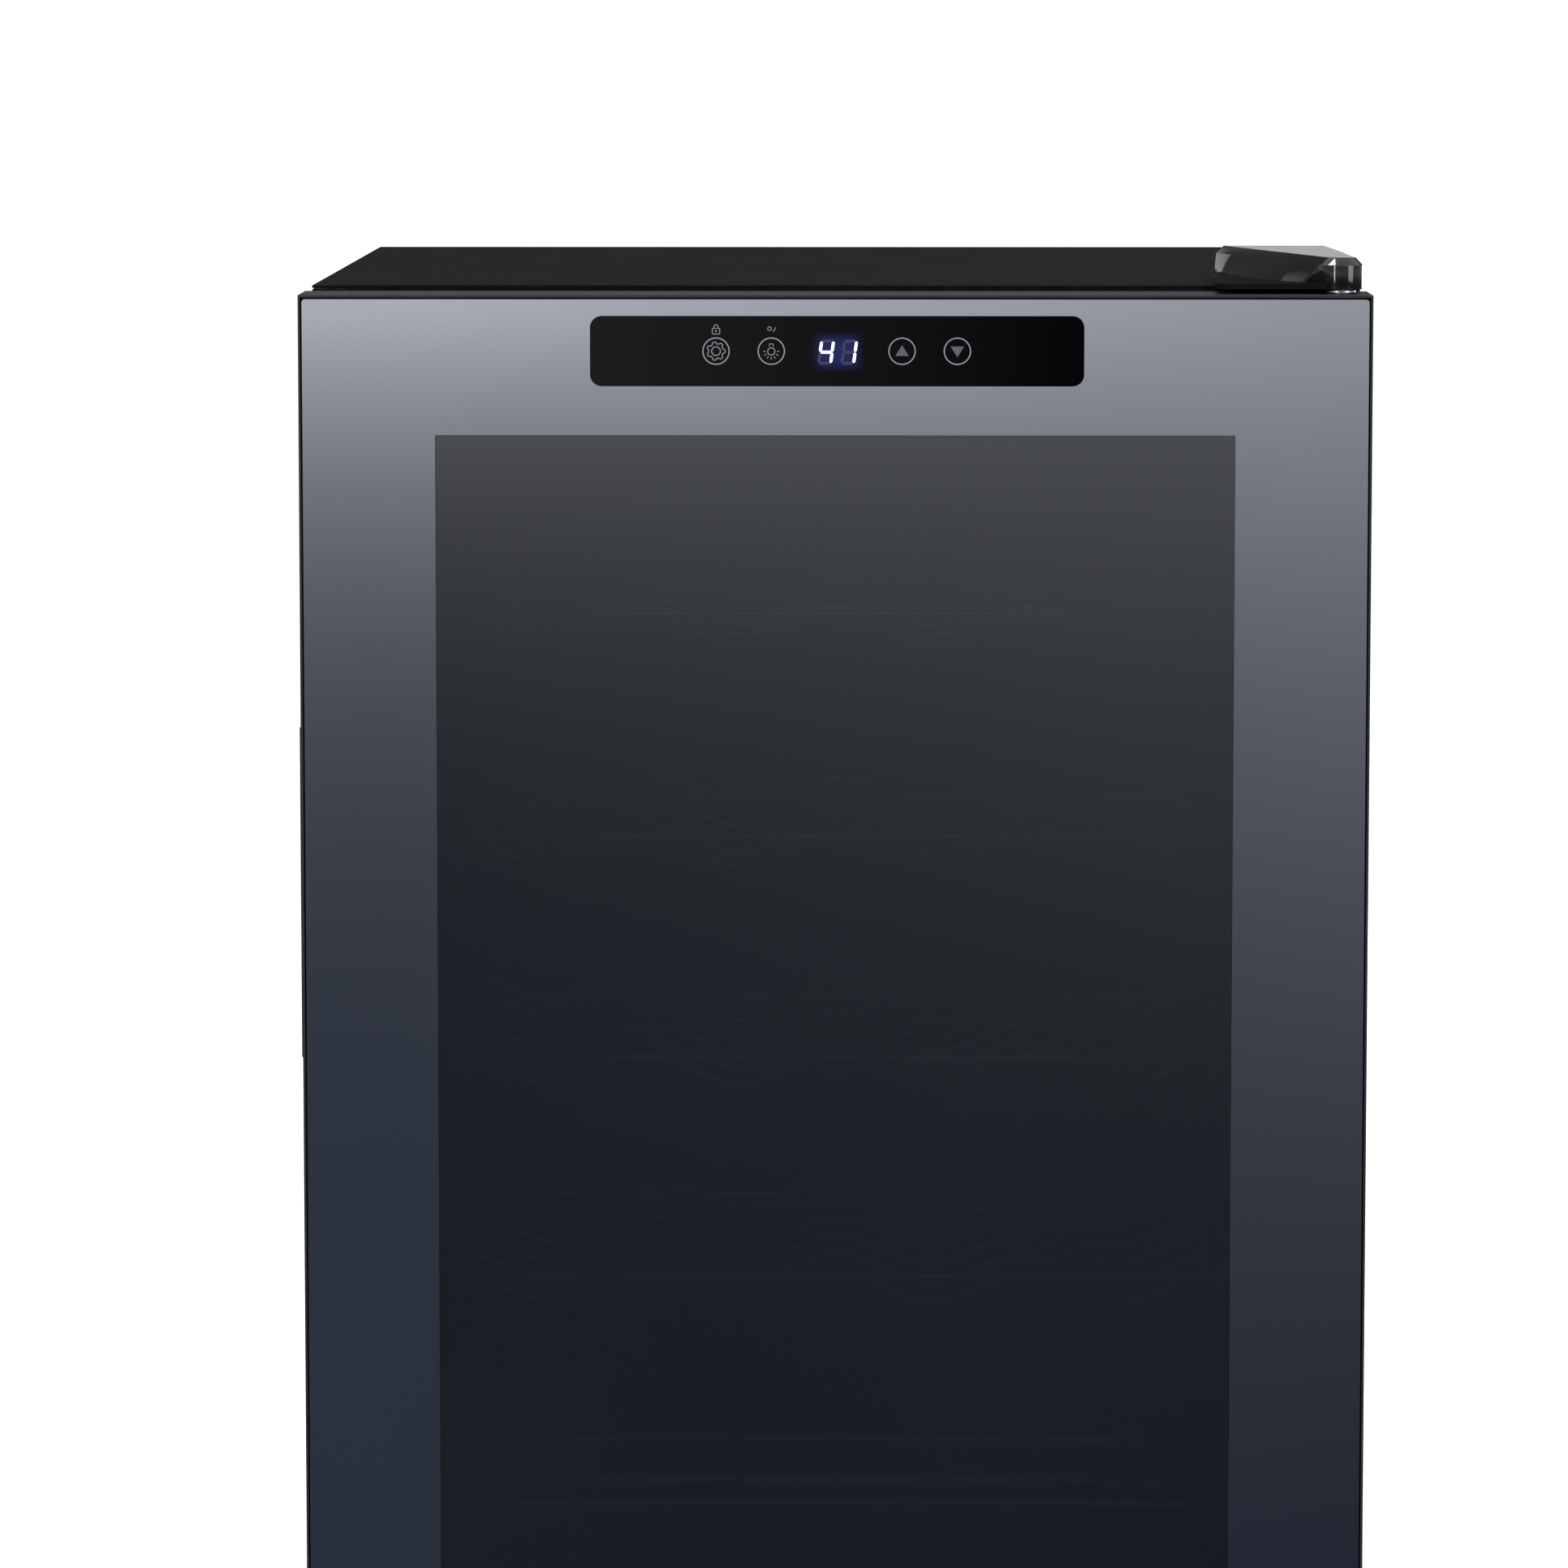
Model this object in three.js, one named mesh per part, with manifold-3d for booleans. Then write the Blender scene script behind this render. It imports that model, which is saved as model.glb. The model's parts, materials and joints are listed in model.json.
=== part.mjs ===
// Freestanding wine cooler: compressor cabinet, mirrored glass door, sliding wire shelves.
// Millimetres. +X is the right-hand side seen from the front, +Y runs to the rear, +Z is up.
// The origin is on the floor, under the middle of the overall box.

import * as THREE from 'three';
import { mergeVertices } from 'three/addons/utils/BufferGeometryUtils.js';
import Module from 'manifold-3d';

const wasm = await Module();
wasm.setup();

// ---------------------------------------------------------------------------
// Driving dimensions
// ---------------------------------------------------------------------------

// Overall
const WIDTH = 430; // across the door
const DEPTH = 480; // door face to the rear cover's ribs
const CABINET_HEIGHT = 632; // floor to the cabinet's top face
const GAP = 0.3; // left between pieces that touch

// Cabinet shell
const FOOT_HEIGHT = 18; // floor to base plate
const CABINET_INSET = 1.5; // cabinet side behind the door's side
const SHEET = 1.2; // steel panels
const RAIL_SHEET = 2; // front rail
const FOLD = 14; // returned edges of the panels
const LINER = 1.5; // moulded liner
const SIDE_WALL = 35; // panel face to cavity
const TOP_WALL = 40;
const FLOOR_WALL = 35;
const BACK_WALL = 25;
const BACK_RECESS = 15; // back panel inside the rear edges
const REAR_RIB = 5; // rear cover and its ribs behind the cabinet
const LINER_FLANGE_DROP = 8; // liner flange below the cavity floor

// Compressor bay and the step above it
const BAY_HEIGHT = 147; // above the base plate's underside
const BAY_DEPTH = 145;
const STEP_WALL = 30; // between bay and cavity
const EVAPORATOR = 3; // plate thickness
const EVAPORATOR_SPACE = 2.5; // behind it and ahead of it

// Door
const DOOR_THICKNESS = 52;
const DOOR_GAP = 6; // gasket space between door and cabinet
const DOOR_TOP_DROP = 1.5; // door top under the cabinet top
const DOOR_BOTTOM_RISE = 4; // door bottom over the base
const DOOR_LIP = 1; // frame edge round the glass
const OUTER_GLASS = 4;
const INNER_GLASS = 4;
const GLASS_SPACE = 12; // between the panes
const DOOR_RAIL = 42; // frame section, side view of the front
const DOOR_FRAME_DEPTH = 40;
const INNER_FRAME_INSET = 5; // inner frame inside the outer one
const WINDOW_BORDER = 54; // frame edge to the clear opening
const SPACER_WIDTH = 7.5;
const GASKET_WIDTH = 12;
const GASKET_TO_PIN = 0.5; // gasket edge on the hinge side, inside the pin axis

// Control field at the top of the door
const CONTROL_WIDTH = 197.5;
const CONTROL_HEIGHT = 28;
const CONTROL_DROP = 8.3; // door top to the field
const CONTROL_DEPTH = 14;
const CONTROL_WALL = 1.5;
const BOARD = 1.6;

// Grip on the door's left edge
const GRIP_LENGTH = 139.7;
const GRIP_DROP = 241.8; // door top to the grip's middle
const GRIP_PROUD = 1;
const GRIP_DEPTH = 30; // front to back
const GRIP_INSIDE = 12; // into the frame
const GRIP_FROM_FRONT = 8;
const GRIP_WALL = 4;
const GRIP_END = 8;

// Hinges
const HINGE_INSET = 12; // pin axis inside the door's side
const HINGE_SETBACK = 20; // pin axis behind the door's face
const PIN_RADIUS = 3;
const PIN_CLEARANCE = 0.1; // running fit, on the radius
const PIN_HEAD_RADIUS = 5;
const PIN_HEAD = 2;
const PIN_IN_DOOR = 12;
const BUSHING_RADIUS = 6;
const BUSHING_LENGTH = 15;
const BUSHING_FLANGE = 9;
const WASHER_RADIUS = 6;
const HINGE_PLATE = 2.5;
const PLATE_LEFT = 61; // left edge of the top plate, inside the cabinet side
const PLATE_TAPER = 9; // the plate is this much narrower at its rear
const PLATE_REAR = 80; // rear edge of the top plate, behind the cabinet front
const ARM_HALF = 7;
const COVER_HEIGHT = 13;
const COVER_WALL = 1.6;
const COVER_NOSE = 9;
const COVER_SHOULDER = 3; // walls end this far under the cover's top face
const COVER_CREASE = 3; // crease outside the edge of the top face
const COVER_BACK = 8; // cover behind the top plate
const BRACKET_LEFT = 54;
const BRACKET_REAR = 60;
const BRACKET_PLATE = 2.7;

// Screws
const SCREW_HEAD = 4;
const SCREW_HEAD_HEIGHT = 2;
const SCREW_SHAFT = 1.8;
const SCREW_LENGTH = 11;
const SCREW_CLEARANCE = 0.3;

// Feet
const FOOT_RADIUS = 14;
const FOOT_PAD = 7;
const STUD_RADIUS = 4;
const STUD_TOP = 30; // above the floor
const FOOT_INSET = 33; // foot axis inside the cabinet side
const FOOT_SETBACK = 32; // foot axis behind the cabinet front
const REAR_FOOT_SETBACK = 30; // foot axis ahead of the cabinet rear

// Shelves
const WAVE_SHELVES = 4;
const TOP_BAY = 97; // cavity ceiling to the top shelf
const SHELF_OVER_STEP = 24; // lowest wave shelf over the step
const LADDER_DROP = 96; // ladder shelf under the lowest wave shelf
const SHELF_SIDE_CLEARANCE = 14.5; // liner wall to the shelf's side rod
const SHELF_SETBACK = 20; // front rod behind the cabinet front
const SHELF_TO_AIR_PANEL = 38; // rear rod ahead of the air panel
const LADDER_TO_STEP = 14; // ladder shelf's rear rod ahead of the step
const SHELF_RISE = 15; // front rod over the side rods
const FRAME_ROD = 2.4; // radius
const FRONT_ROD = 2;
const WAVE_ROD = 1.5;
const BOTTLE_PITCH = 80; // one bottle lane
const WAVE_HEIGHT = 12; // trough to crest
const WAVE_WIRES = 6;
const WAVE_STEPS = 4; // straight runs in one wave
const REAR_CORNER = 40;
const LADDER_PITCH = 42;
const LADDER_CROSS = 55; // second cross rod behind the first
const LEDGE_WIDTH = 20;
const LEDGE_HEIGHT = 5;

// Air duct and fan
const AIR_PANEL = 2;
const AIR_PANEL_SIDE = 16.5; // cavity side to the panel
const AIR_SLOTS = 10;
const AIR_SLOT_PITCH = 8;
const AIR_SLOT_WIDTH = 4;
const AIR_SLOT_HEIGHT = 15;
const FAN_SIZE = 80;
const FAN_THICKNESS = 15;
const FAN_BORE = 38;
const FAN_DROP = 62; // fan axis under the top shelf
const FAN_BLADES = 7;
const AIR_SCREW_DROP = 44; // under the top shelf
const AIR_SCREW_INSET = 8;
const STEP_SCREW_X = 151;
const STEP_SCREW_DROP = 75; // under the step's top

// Bay contents
const COMPRESSOR_HALF_WIDTH = 72;
const COMPRESSOR_HALF_DEPTH = 56;
const COMPRESSOR_BODY = 112; // height
const COMPRESSOR_LEGS = 9;
const COMPRESSOR_X = -40;
const COIL_PITCH = 36;
const COIL_ROD = 2.5;
const COIL_SIDE = 34; // cabinet side to the coil's bends
const COIL_TAIL = 12; // coil's lower end inside the bay
const TUBE_ROD = 4;
const REAR_COVER = 1.5; // sheet
const COVER_TUCK = 1.5; // rear cover inside the cabinet's outline
const GLAND_X = 150;
const GLAND_Z = 46;
const GLAND_RADIUS = 7;
const GLAND_FLANGE = 4; // wider than the barrel

// ---------------------------------------------------------------------------
// Places worked out from the dimensions
// ---------------------------------------------------------------------------

const half = WIDTH / 2;
const frontY = -DEPTH / 2;
const cabinetHalf = half - CABINET_INSET;
const cabinetFront = frontY + DOOR_THICKNESS + DOOR_GAP;
const cabinetRear = DEPTH / 2 - REAR_RIB;
const cabinetTop = CABINET_HEIGHT;
const baseZ = FOOT_HEIGHT;
const innerHalf = cabinetHalf - SHEET - GAP; // room between the side panels

const backPanelY = cabinetRear - BACK_RECESS; // rear face of the back panel
const cavityHalf = cabinetHalf - SIDE_WALL;
const cavityTop = cabinetTop - TOP_WALL;
const cavityFloor = baseZ + FLOOR_WALL;
const cavityRear = backPanelY - SHEET - BACK_WALL;

const bayTop = baseZ + BAY_HEIGHT;
const bayFront = cabinetRear - BAY_DEPTH;
const stepTop = bayTop + STEP_WALL;
const stepFront = bayFront - STEP_WALL;
const baseTop = baseZ + SHEET;

const doorHeight = cabinetTop - DOOR_TOP_DROP - baseZ - DOOR_BOTTOM_RISE;
const doorBottom = baseZ + DOOR_BOTTOM_RISE;
const doorTop = doorBottom + doorHeight;
const hingeX = half - HINGE_INSET;
const hingeY = frontY + HINGE_SETBACK;

const topShelf = cavityTop - TOP_BAY;
const lowWaveShelf = stepTop + SHELF_OVER_STEP;
const shelfPitch = (topShelf - lowWaveShelf) / (WAVE_SHELVES - 1);
const shelfFront = cabinetFront + SHELF_SETBACK;
const shelfHalf = cavityHalf - SHELF_SIDE_CLEARANCE - FRAME_ROD;
const evaporatorY = cavityRear - EVAPORATOR_SPACE - EVAPORATOR; // front face of the plate
const fanY = evaporatorY - EVAPORATOR_SPACE - FAN_THICKNESS; // front face of the fan's frame
const airPanelY = fanY - GAP - AIR_PANEL; // front face of the air panel
const waveShelfRear = airPanelY - SHELF_TO_AIR_PANEL;
const ladderShelfRear = stepFront - LADDER_TO_STEP;

const coverRear = cabinetFront + PLATE_REAR + COVER_BACK;
const coverTopNose = COVER_NOSE - COVER_SHOULDER; // the top face's round end
const RIDGE_SHARES = [0, 0.15, 0.3, 0.45, 0.6, 0.75, 0.9]; // places along the cover's left side
const footX = cabinetHalf - FOOT_INSET;
const footY = cabinetFront + FOOT_SETBACK;

// Screw places, as [x, y] on the top plate and on the bottom bracket
const topScrews = [0.3, 0.75].map((share) => [
  cabinetHalf - PLATE_LEFT * (1 - share),
  cabinetFront + PLATE_REAR - 14,
]);
const bottomScrews = [-16, 16].map((along) => [footX + along, footY + 14]);

// ---------------------------------------------------------------------------
// Shapes
// ---------------------------------------------------------------------------

// Merges shared vertices and drops the empty triangles at a lathe's poles.
function welded(geometry) {
  const bare = geometry.clone();
  bare.deleteAttribute('normal');
  bare.deleteAttribute('uv');
  const merged = mergeVertices(bare, 1e-4);
  const index = merged.index.array;
  const kept = [];
  for (let i = 0; i < index.length; i += 3) {
    const [a, b, c] = [index[i], index[i + 1], index[i + 2]];
    if (a !== b && b !== c && c !== a) kept.push(a, b, c);
  }
  merged.setIndex(kept);
  return merged;
}

function toSolid(geometry) {
  const clean = welded(geometry);
  return new wasm.Manifold(new wasm.Mesh({
    numProp: 3,
    vertProperties: new Float32Array(clean.attributes.position.array),
    triVerts: new Uint32Array(clean.index.array),
  }));
}

// Joins `joins` to `base`, then cuts `cuts` away.
function shaped(base, joins, cuts) {
  let solid = toSolid(base);
  for (const piece of joins) solid = solid.add(toSolid(piece));
  for (const piece of cuts) solid = solid.subtract(toSolid(piece));
  const mesh = solid.getMesh();
  const geometry = new THREE.BufferGeometry();
  geometry.setAttribute('position', new THREE.BufferAttribute(mesh.vertProperties, 3));
  geometry.setIndex(new THREE.BufferAttribute(mesh.triVerts, 1));
  return geometry;
}

const joined = (base, ...joins) => shaped(base, joins, []);
const cut = (base, ...cuts) => shaped(base, [], cuts);

// A box whose corners take exactly the stated values, so that joined boxes share their faces.
function box(xs, ys, zs) {
  const geometry = new THREE.BoxGeometry(1, 1, 1);
  const position = geometry.attributes.position;
  for (let i = 0; i < position.count; i += 1) {
    const end = (value) => (value > 0 ? 1 : 0);
    position.setXYZ(i, xs[end(position.getX(i))], ys[end(position.getY(i))], zs[end(position.getZ(i))]);
  }
  return geometry;
}

const mirrored = (size) => [-size, size];

// A frame seen from the front: a box with a smaller box taken out along Y.
function ring(outerHalf, outerZ, openHalf, innerZ, [y0, y1]) {
  return cut(
    box(mirrored(outerHalf), [y0, y1], outerZ),
    box(mirrored(openHalf), [y0 - 1, y1 + 1], innerZ),
  );
}

// A round bar from z0 to z1, then tipped or moved by the caller.
function post(radius, z0, z1, sides = 16) {
  const geometry = new THREE.CylinderGeometry(radius, radius, z1 - z0, sides);
  return geometry.rotateX(Math.PI / 2).translate(0, 0, (z0 + z1) / 2);
}

// A turned piece about Z; the profile is [radius, z] from the lower pole to the upper one.
function turned(profile, sides = 20) {
  const points = profile.map(([radius, z]) => new THREE.Vector2(radius, z));
  return welded(new THREE.LatheGeometry(points, sides).rotateX(Math.PI / 2));
}

// A flat outline in X and Y, given thickness from z0 to z1.
function slab(outline, z0, z1) {
  const shape = new THREE.Shape(outline.map(([x, y]) => new THREE.Vector2(x, y)));
  const geometry = new THREE.ExtrudeGeometry(shape, { depth: z1 - z0, bevelEnabled: false });
  return geometry.translate(0, 0, z0);
}

function arc(x, y, radius, from, to, steps) {
  return Array.from({ length: steps + 1 }, (_, i) => {
    const angle = THREE.MathUtils.degToRad(from + ((to - from) * i) / steps);
    return [x + radius * Math.cos(angle), y + radius * Math.sin(angle)];
  });
}

// A sweep path whose every step lands on one of its waypoints.
class Waypoints extends THREE.Curve {
  constructor(points) {
    super();
    this.points = points;
  }

  getPoint(t, target = new THREE.Vector3()) {
    const last = this.points.length - 1;
    const i = Math.min(Math.floor(t * last + 1e-6), last - 1);
    return target.lerpVectors(this.points[i], this.points[i + 1], t * last - i);
  }

  getPointAt(t, target) {
    return this.getPoint(t, target);
  }

  getTangentAt(t, target = new THREE.Vector3()) {
    const last = this.points.length - 1;
    const i = Math.round(t * last);
    const before = this.points[Math.max(i - 1, 0)];
    const after = this.points[Math.min(i + 1, last)];
    return target.subVectors(after, before).normalize();
  }
}

function tube(points, radius, sides = 6) {
  const section = arc(0, 0, radius, 0, 360 * (1 - 1 / sides), sides - 1);
  const shape = new THREE.Shape(section.map(([x, y]) => new THREE.Vector2(x, y)));
  const path = points.map((point) => new THREE.Vector3(...point));
  return new THREE.ExtrudeGeometry(shape, {
    steps: points.length - 1,
    extrudePath: new Waypoints(path),
    bevelEnabled: false,
  });
}

// Rounds the inner corners of a run of points.
function rounded(points, radius, steps = 4) {
  const corners = points.map((point) => new THREE.Vector3(...point));
  const run = [points[0]];
  for (let i = 1; i < corners.length - 1; i += 1) {
    const into = corners[i - 1].clone().sub(corners[i]).setLength(radius).add(corners[i]);
    const away = corners[i + 1].clone().sub(corners[i]).setLength(radius).add(corners[i]);
    const bend = new THREE.QuadraticBezierCurve3(into, corners[i], away);
    run.push(...bend.getPoints(steps).map((point) => point.toArray()));
  }
  run.push(points[points.length - 1]);
  return run;
}

// A closed skin through outlines of equal length, one above the other: [{ z, outline }, ...].
function loft(levels) {
  const count = levels[0].outline.length;
  const positions = levels.flatMap(({ z, outline }) => outline.flatMap(([x, y]) => [x, y, z]));
  const index = [];
  for (let level = 0; level < levels.length - 1; level += 1) {
    for (let i = 0; i < count; i += 1) {
      const a = level * count + i;
      const b = level * count + ((i + 1) % count);
      index.push(a, b, b + count, a, b + count, a + count);
    }
  }
  const cap = (outline) => THREE.ShapeUtils.triangulateShape(
    outline.map(([x, y]) => new THREE.Vector2(x, y)),
    [],
  );
  const top = (levels.length - 1) * count;
  for (const [a, b, c] of cap(levels[0].outline)) index.push(a, c, b);
  for (const [a, b, c] of cap(levels[levels.length - 1].outline)) index.push(top + a, top + b, top + c);
  const geometry = new THREE.BufferGeometry();
  geometry.setAttribute('position', new THREE.Float32BufferAttribute(positions, 3));
  geometry.setIndex(index);
  return geometry;
}

// ---------------------------------------------------------------------------
// Finishes and nodes
// ---------------------------------------------------------------------------

const finishes = {
  blackPaint: { color: 0x26272a, roughness: 0.55, metalness: 0.2 },
  blackPlastic: { color: 0x17181a, roughness: 0.45, metalness: 0 },
  glossBlack: { color: 0x0c0c0e, roughness: 0.12, metalness: 0 },
  mirrorGlass: { color: 0x7d8186, roughness: 0.05, metalness: 0.8 },
  clearGlass: { color: 0x2b3036, roughness: 0.05, metalness: 0 },
  liner: { color: 0x2a2b2e, roughness: 0.5, metalness: 0 },
  foam: { color: 0xd9c98f, roughness: 0.9, metalness: 0 },
  galvanised: { color: 0xa7abad, roughness: 0.4, metalness: 0.9 },
  chrome: { color: 0xd6d8da, roughness: 0.15, metalness: 1 },
  steel: { color: 0x9a9da0, roughness: 0.3, metalness: 1 },
  aluminium: { color: 0xb9bcbf, roughness: 0.35, metalness: 1 },
  copper: { color: 0xb8734a, roughness: 0.3, metalness: 1 },
  rubber: { color: 0x1b1b1c, roughness: 0.8, metalness: 0 },
  boardGreen: { color: 0x1f5a3a, roughness: 0.5, metalness: 0 },
  lens: { color: 0xe8ecf0, roughness: 0.3, metalness: 0 },
  greyPlastic: { color: 0x8b8d8f, roughness: 0.5, metalness: 0 },
};

function node(parent, name, geometry, finish, [x, y, z] = [0, 0, 0]) {
  const mesh = new THREE.Mesh(geometry, new THREE.MeshStandardMaterial(finishes[finish]));
  mesh.name = name;
  mesh.position.set(x, y, z);
  parent.add(mesh);
  return mesh;
}

function groupAt(parent, x, y, z) {
  const group = new THREE.Group();
  group.position.set(x, y, z);
  parent.add(group);
  return group;
}

const cooler = new THREE.Group();

// ---------------------------------------------------------------------------
// Cabinet shell
// ---------------------------------------------------------------------------

// Cylinders that make room for the feet's studs and for the hinge screws.
function studRooms(radius, z0, z1) {
  return [-footX, footX].map((x) => post(radius, z0, z1).translate(x, footY, 0));
}

function screwRooms(places, z0, z1) {
  const radius = SCREW_SHAFT + SCREW_CLEARANCE;
  return places.map(([x, y]) => post(radius, z0, z1, 10).translate(x, y, 0));
}

// A steel sheet folded inwards at its front and rear edges.
function sidePanel(side) {
  const outer = side * cabinetHalf;
  const inner = side * (cabinetHalf - SHEET);
  const fold = side * (cabinetHalf - FOLD);
  const outline = [
    [outer, cabinetFront],
    [outer, cabinetRear],
    [fold, cabinetRear],
    [fold, cabinetRear - SHEET],
    [inner, cabinetRear - SHEET],
    [inner, cabinetFront + SHEET],
    [fold, cabinetFront + SHEET],
    [fold, cabinetFront],
  ];
  return slab(outline, baseZ, cabinetTop - SHEET - GAP);
}

function topPanel() {
  const foldHalf = cabinetHalf - FOLD - GAP;
  const foldZ = [cabinetTop - FOLD, cabinetTop - SHEET / 2];
  return shaped(
    box(mirrored(cabinetHalf), [cabinetFront, cabinetRear], [cabinetTop - SHEET, cabinetTop]),
    [
      box(mirrored(foldHalf), [cabinetFront, cabinetFront + SHEET], foldZ),
      box(mirrored(foldHalf), [cabinetRear - SHEET, cabinetRear], foldZ),
    ],
    screwRooms(topScrews, cabinetTop - 2 * SHEET, cabinetTop + 1),
  );
}

const railTop = cavityFloor - LINER_FLANGE_DROP - GAP;

function basePlate() {
  return cut(
    box(
      mirrored(innerHalf),
      [cabinetFront + RAIL_SHEET + GAP, cabinetRear - SHEET - GAP],
      [baseZ, baseTop],
    ),
    ...studRooms(STUD_RADIUS + PIN_CLEARANCE + GAP, baseZ - 1, baseTop + 1),
    ...screwRooms(bottomScrews, baseZ - 1, baseTop + 1),
  );
}

// The space inside the liner, grown by `grow` all round and open at the front.
function cavity(grow) {
  return cut(
    box(
      mirrored(cavityHalf + grow),
      [cabinetFront - 5, cavityRear + grow],
      [cavityFloor - grow, cavityTop + grow],
    ),
    box(
      mirrored(cavityHalf + 5),
      [stepFront + grow, cavityRear + 10],
      [cavityFloor - 10, stepTop - grow],
    ),
  );
}

// Heights of the shelves' front rods, top shelf first.
const shelves = [
  ...Array.from({ length: WAVE_SHELVES }, (_, i) => ({
    z: topShelf - i * shelfPitch,
    rear: waveShelfRear,
    ladder: false,
  })),
  { z: lowWaveShelf - LADDER_DROP, rear: ladderShelfRear, ladder: true },
];

// Moulded ledges that carry the side rods of each shelf.
function ledges() {
  return shelves.flatMap(({ z, rear }) => [-1, 1].map((side) => {
    const top = z - SHELF_RISE - FRAME_ROD - GAP;
    const span = [side * (cavityHalf + LINER / 2), side * (cavityHalf - LEDGE_WIDTH)];
    return box(
      span.sort((a, b) => a - b),
      [cabinetFront + LINER + 4, rear],
      [top - LEDGE_HEIGHT, top],
    );
  }));
}

function innerLiner() {
  const flangeHalf = cabinetHalf - FOLD - GAP;
  const flangeZ = [cavityFloor - LINER_FLANGE_DROP, cabinetTop - FOLD - GAP];
  const tub = cut(cavity(LINER), box(
    mirrored(cabinetHalf + 5),
    [cabinetFront - 10, cabinetFront],
    [0, cabinetTop],
  ));
  return shaped(
    joined(tub, box(mirrored(flangeHalf), [cabinetFront, cabinetFront + LINER], flangeZ)),
    [],
    [cavity(0)],
  );
}

function insulation() {
  const grown = LINER + GAP;
  return cut(
    box(
      mirrored(innerHalf),
      [cabinetFront + RAIL_SHEET + GAP, backPanelY - SHEET - GAP],
      [baseTop + GAP, cabinetTop - SHEET - GAP],
    ),
    cavity(grown),
    box(
      mirrored(cabinetHalf),
      [bayFront - SHEET - GAP, cabinetRear],
      [0, bayTop + SHEET + GAP],
    ),
    ...studRooms(STUD_RADIUS + 2, baseZ, STUD_TOP + 4),
    ...screwRooms(bottomScrews, baseZ, baseTop + SCREW_LENGTH + 2),
    ...screwRooms(topScrews, cabinetTop - SCREW_LENGTH - 2, cabinetTop),
  );
}

function bayPlate() {
  return joined(
    box(mirrored(innerHalf), [bayFront - SHEET, bayFront], [baseTop + GAP, bayTop + SHEET]),
    box(mirrored(innerHalf), [bayFront - SHEET, backPanelY - SHEET - GAP], [bayTop, bayTop + SHEET]),
  );
}

function cabinetShell(parent) {
  node(parent, 'top_panel', topPanel(), 'blackPaint');
  node(parent, 'left_side_panel', sidePanel(-1), 'blackPaint');
  node(parent, 'right_side_panel', sidePanel(1), 'blackPaint');
  const back = box(
    mirrored(innerHalf),
    [backPanelY - SHEET, backPanelY],
    [bayTop, cabinetTop - SHEET - GAP],
  );
  node(parent, 'back_panel', back, 'blackPaint');
  node(parent, 'base_plate', basePlate(), 'galvanised');
  const rail = box(
    mirrored(cabinetHalf - FOLD - GAP),
    [cabinetFront, cabinetFront + RAIL_SHEET],
    [baseZ, railTop],
  );
  node(parent, 'front_rail', rail, 'blackPaint');
  node(parent, 'inner_liner', joined(innerLiner(), ...ledges()), 'liner');
  node(parent, 'insulation_foam', insulation(), 'foam');
  node(parent, 'bay_plate', bayPlate(), 'galvanised');
}

// ---------------------------------------------------------------------------
// Air duct, fan, light and sensor
// ---------------------------------------------------------------------------

const airPanelHalf = cavityHalf - AIR_PANEL_SIDE;
const airPanelZ = [stepTop + 3, cavityTop - 3];
const fanZ = topShelf - FAN_DROP;

function slotRow(count, pitch, width, [z0, z1], [y0, y1]) {
  return Array.from({ length: count }, (_, i) => {
    const x = (i - (count - 1) / 2) * pitch;
    return box([x - width / 2, x + width / 2], [y0, y1], [z0, z1]);
  });
}

// A screw with its head up, its shaft running down from the underside of the head.
function screwBody(shaft = SCREW_LENGTH) {
  return turned([
    [0, -shaft],
    [SCREW_SHAFT, -shaft],
    [SCREW_SHAFT, 0],
    [SCREW_HEAD, 0],
    [SCREW_HEAD * 0.8, SCREW_HEAD_HEIGHT],
    [0, SCREW_HEAD_HEIGHT],
  ], 10);
}

// A short screw whose head faces the door; its shaft ends inside the panel it holds.
function shortScrew(shaft) {
  return screwBody(shaft).rotateX(Math.PI / 2);
}

function airPanel() {
  const y = [airPanelY, cavityRear - GAP];
  const inside = airPanelHalf - AIR_PANEL;
  const screwX = airPanelHalf - AIR_SCREW_INSET;
  const slotY = [airPanelY - 1, airPanelY + AIR_PANEL + 1];
  const hole = post(SCREW_SHAFT + SCREW_CLEARANCE, -5, 5, 10).rotateX(Math.PI / 2);
  return cut(
    box(mirrored(airPanelHalf), y, airPanelZ),
    box(
      mirrored(inside),
      [airPanelY + AIR_PANEL, cavityRear + 1],
      [airPanelZ[0] + AIR_PANEL, airPanelZ[1] - AIR_PANEL],
    ),
    ...slotRow(
      AIR_SLOTS,
      AIR_SLOT_PITCH,
      AIR_SLOT_WIDTH,
      [topShelf - 1, topShelf - 1 + AIR_SLOT_HEIGHT],
      slotY,
    ),
    ...slotRow(AIR_SLOTS, 2 * AIR_SLOT_PITCH, AIR_SLOT_WIDTH, [stepTop + 12, stepTop + 28], slotY),
    ...[-screwX, screwX].map((x) => hole.clone().translate(x, airPanelY, topShelf - AIR_SCREW_DROP)),
  );
}

function fanFrame() {
  const s = FAN_SIZE / 2;
  const spider = 2;
  const body = cut(
    box(mirrored(s), [0, FAN_THICKNESS], mirrored(s)),
    post(FAN_BORE, -FAN_THICKNESS - 1, 1, 32).rotateX(Math.PI / 2),
  );
  const rearY = [FAN_THICKNESS - spider, FAN_THICKNESS];
  const arms = [0, 60, 120].map((angle) => (
    box(mirrored(FAN_BORE + 1), rearY, mirrored(2)).rotateY(THREE.MathUtils.degToRad(angle))
  ));
  const seat = post(12, -FAN_THICKNESS, -FAN_THICKNESS + spider, 18).rotateX(Math.PI / 2);
  return joined(body, ...arms, seat);
}

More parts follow.
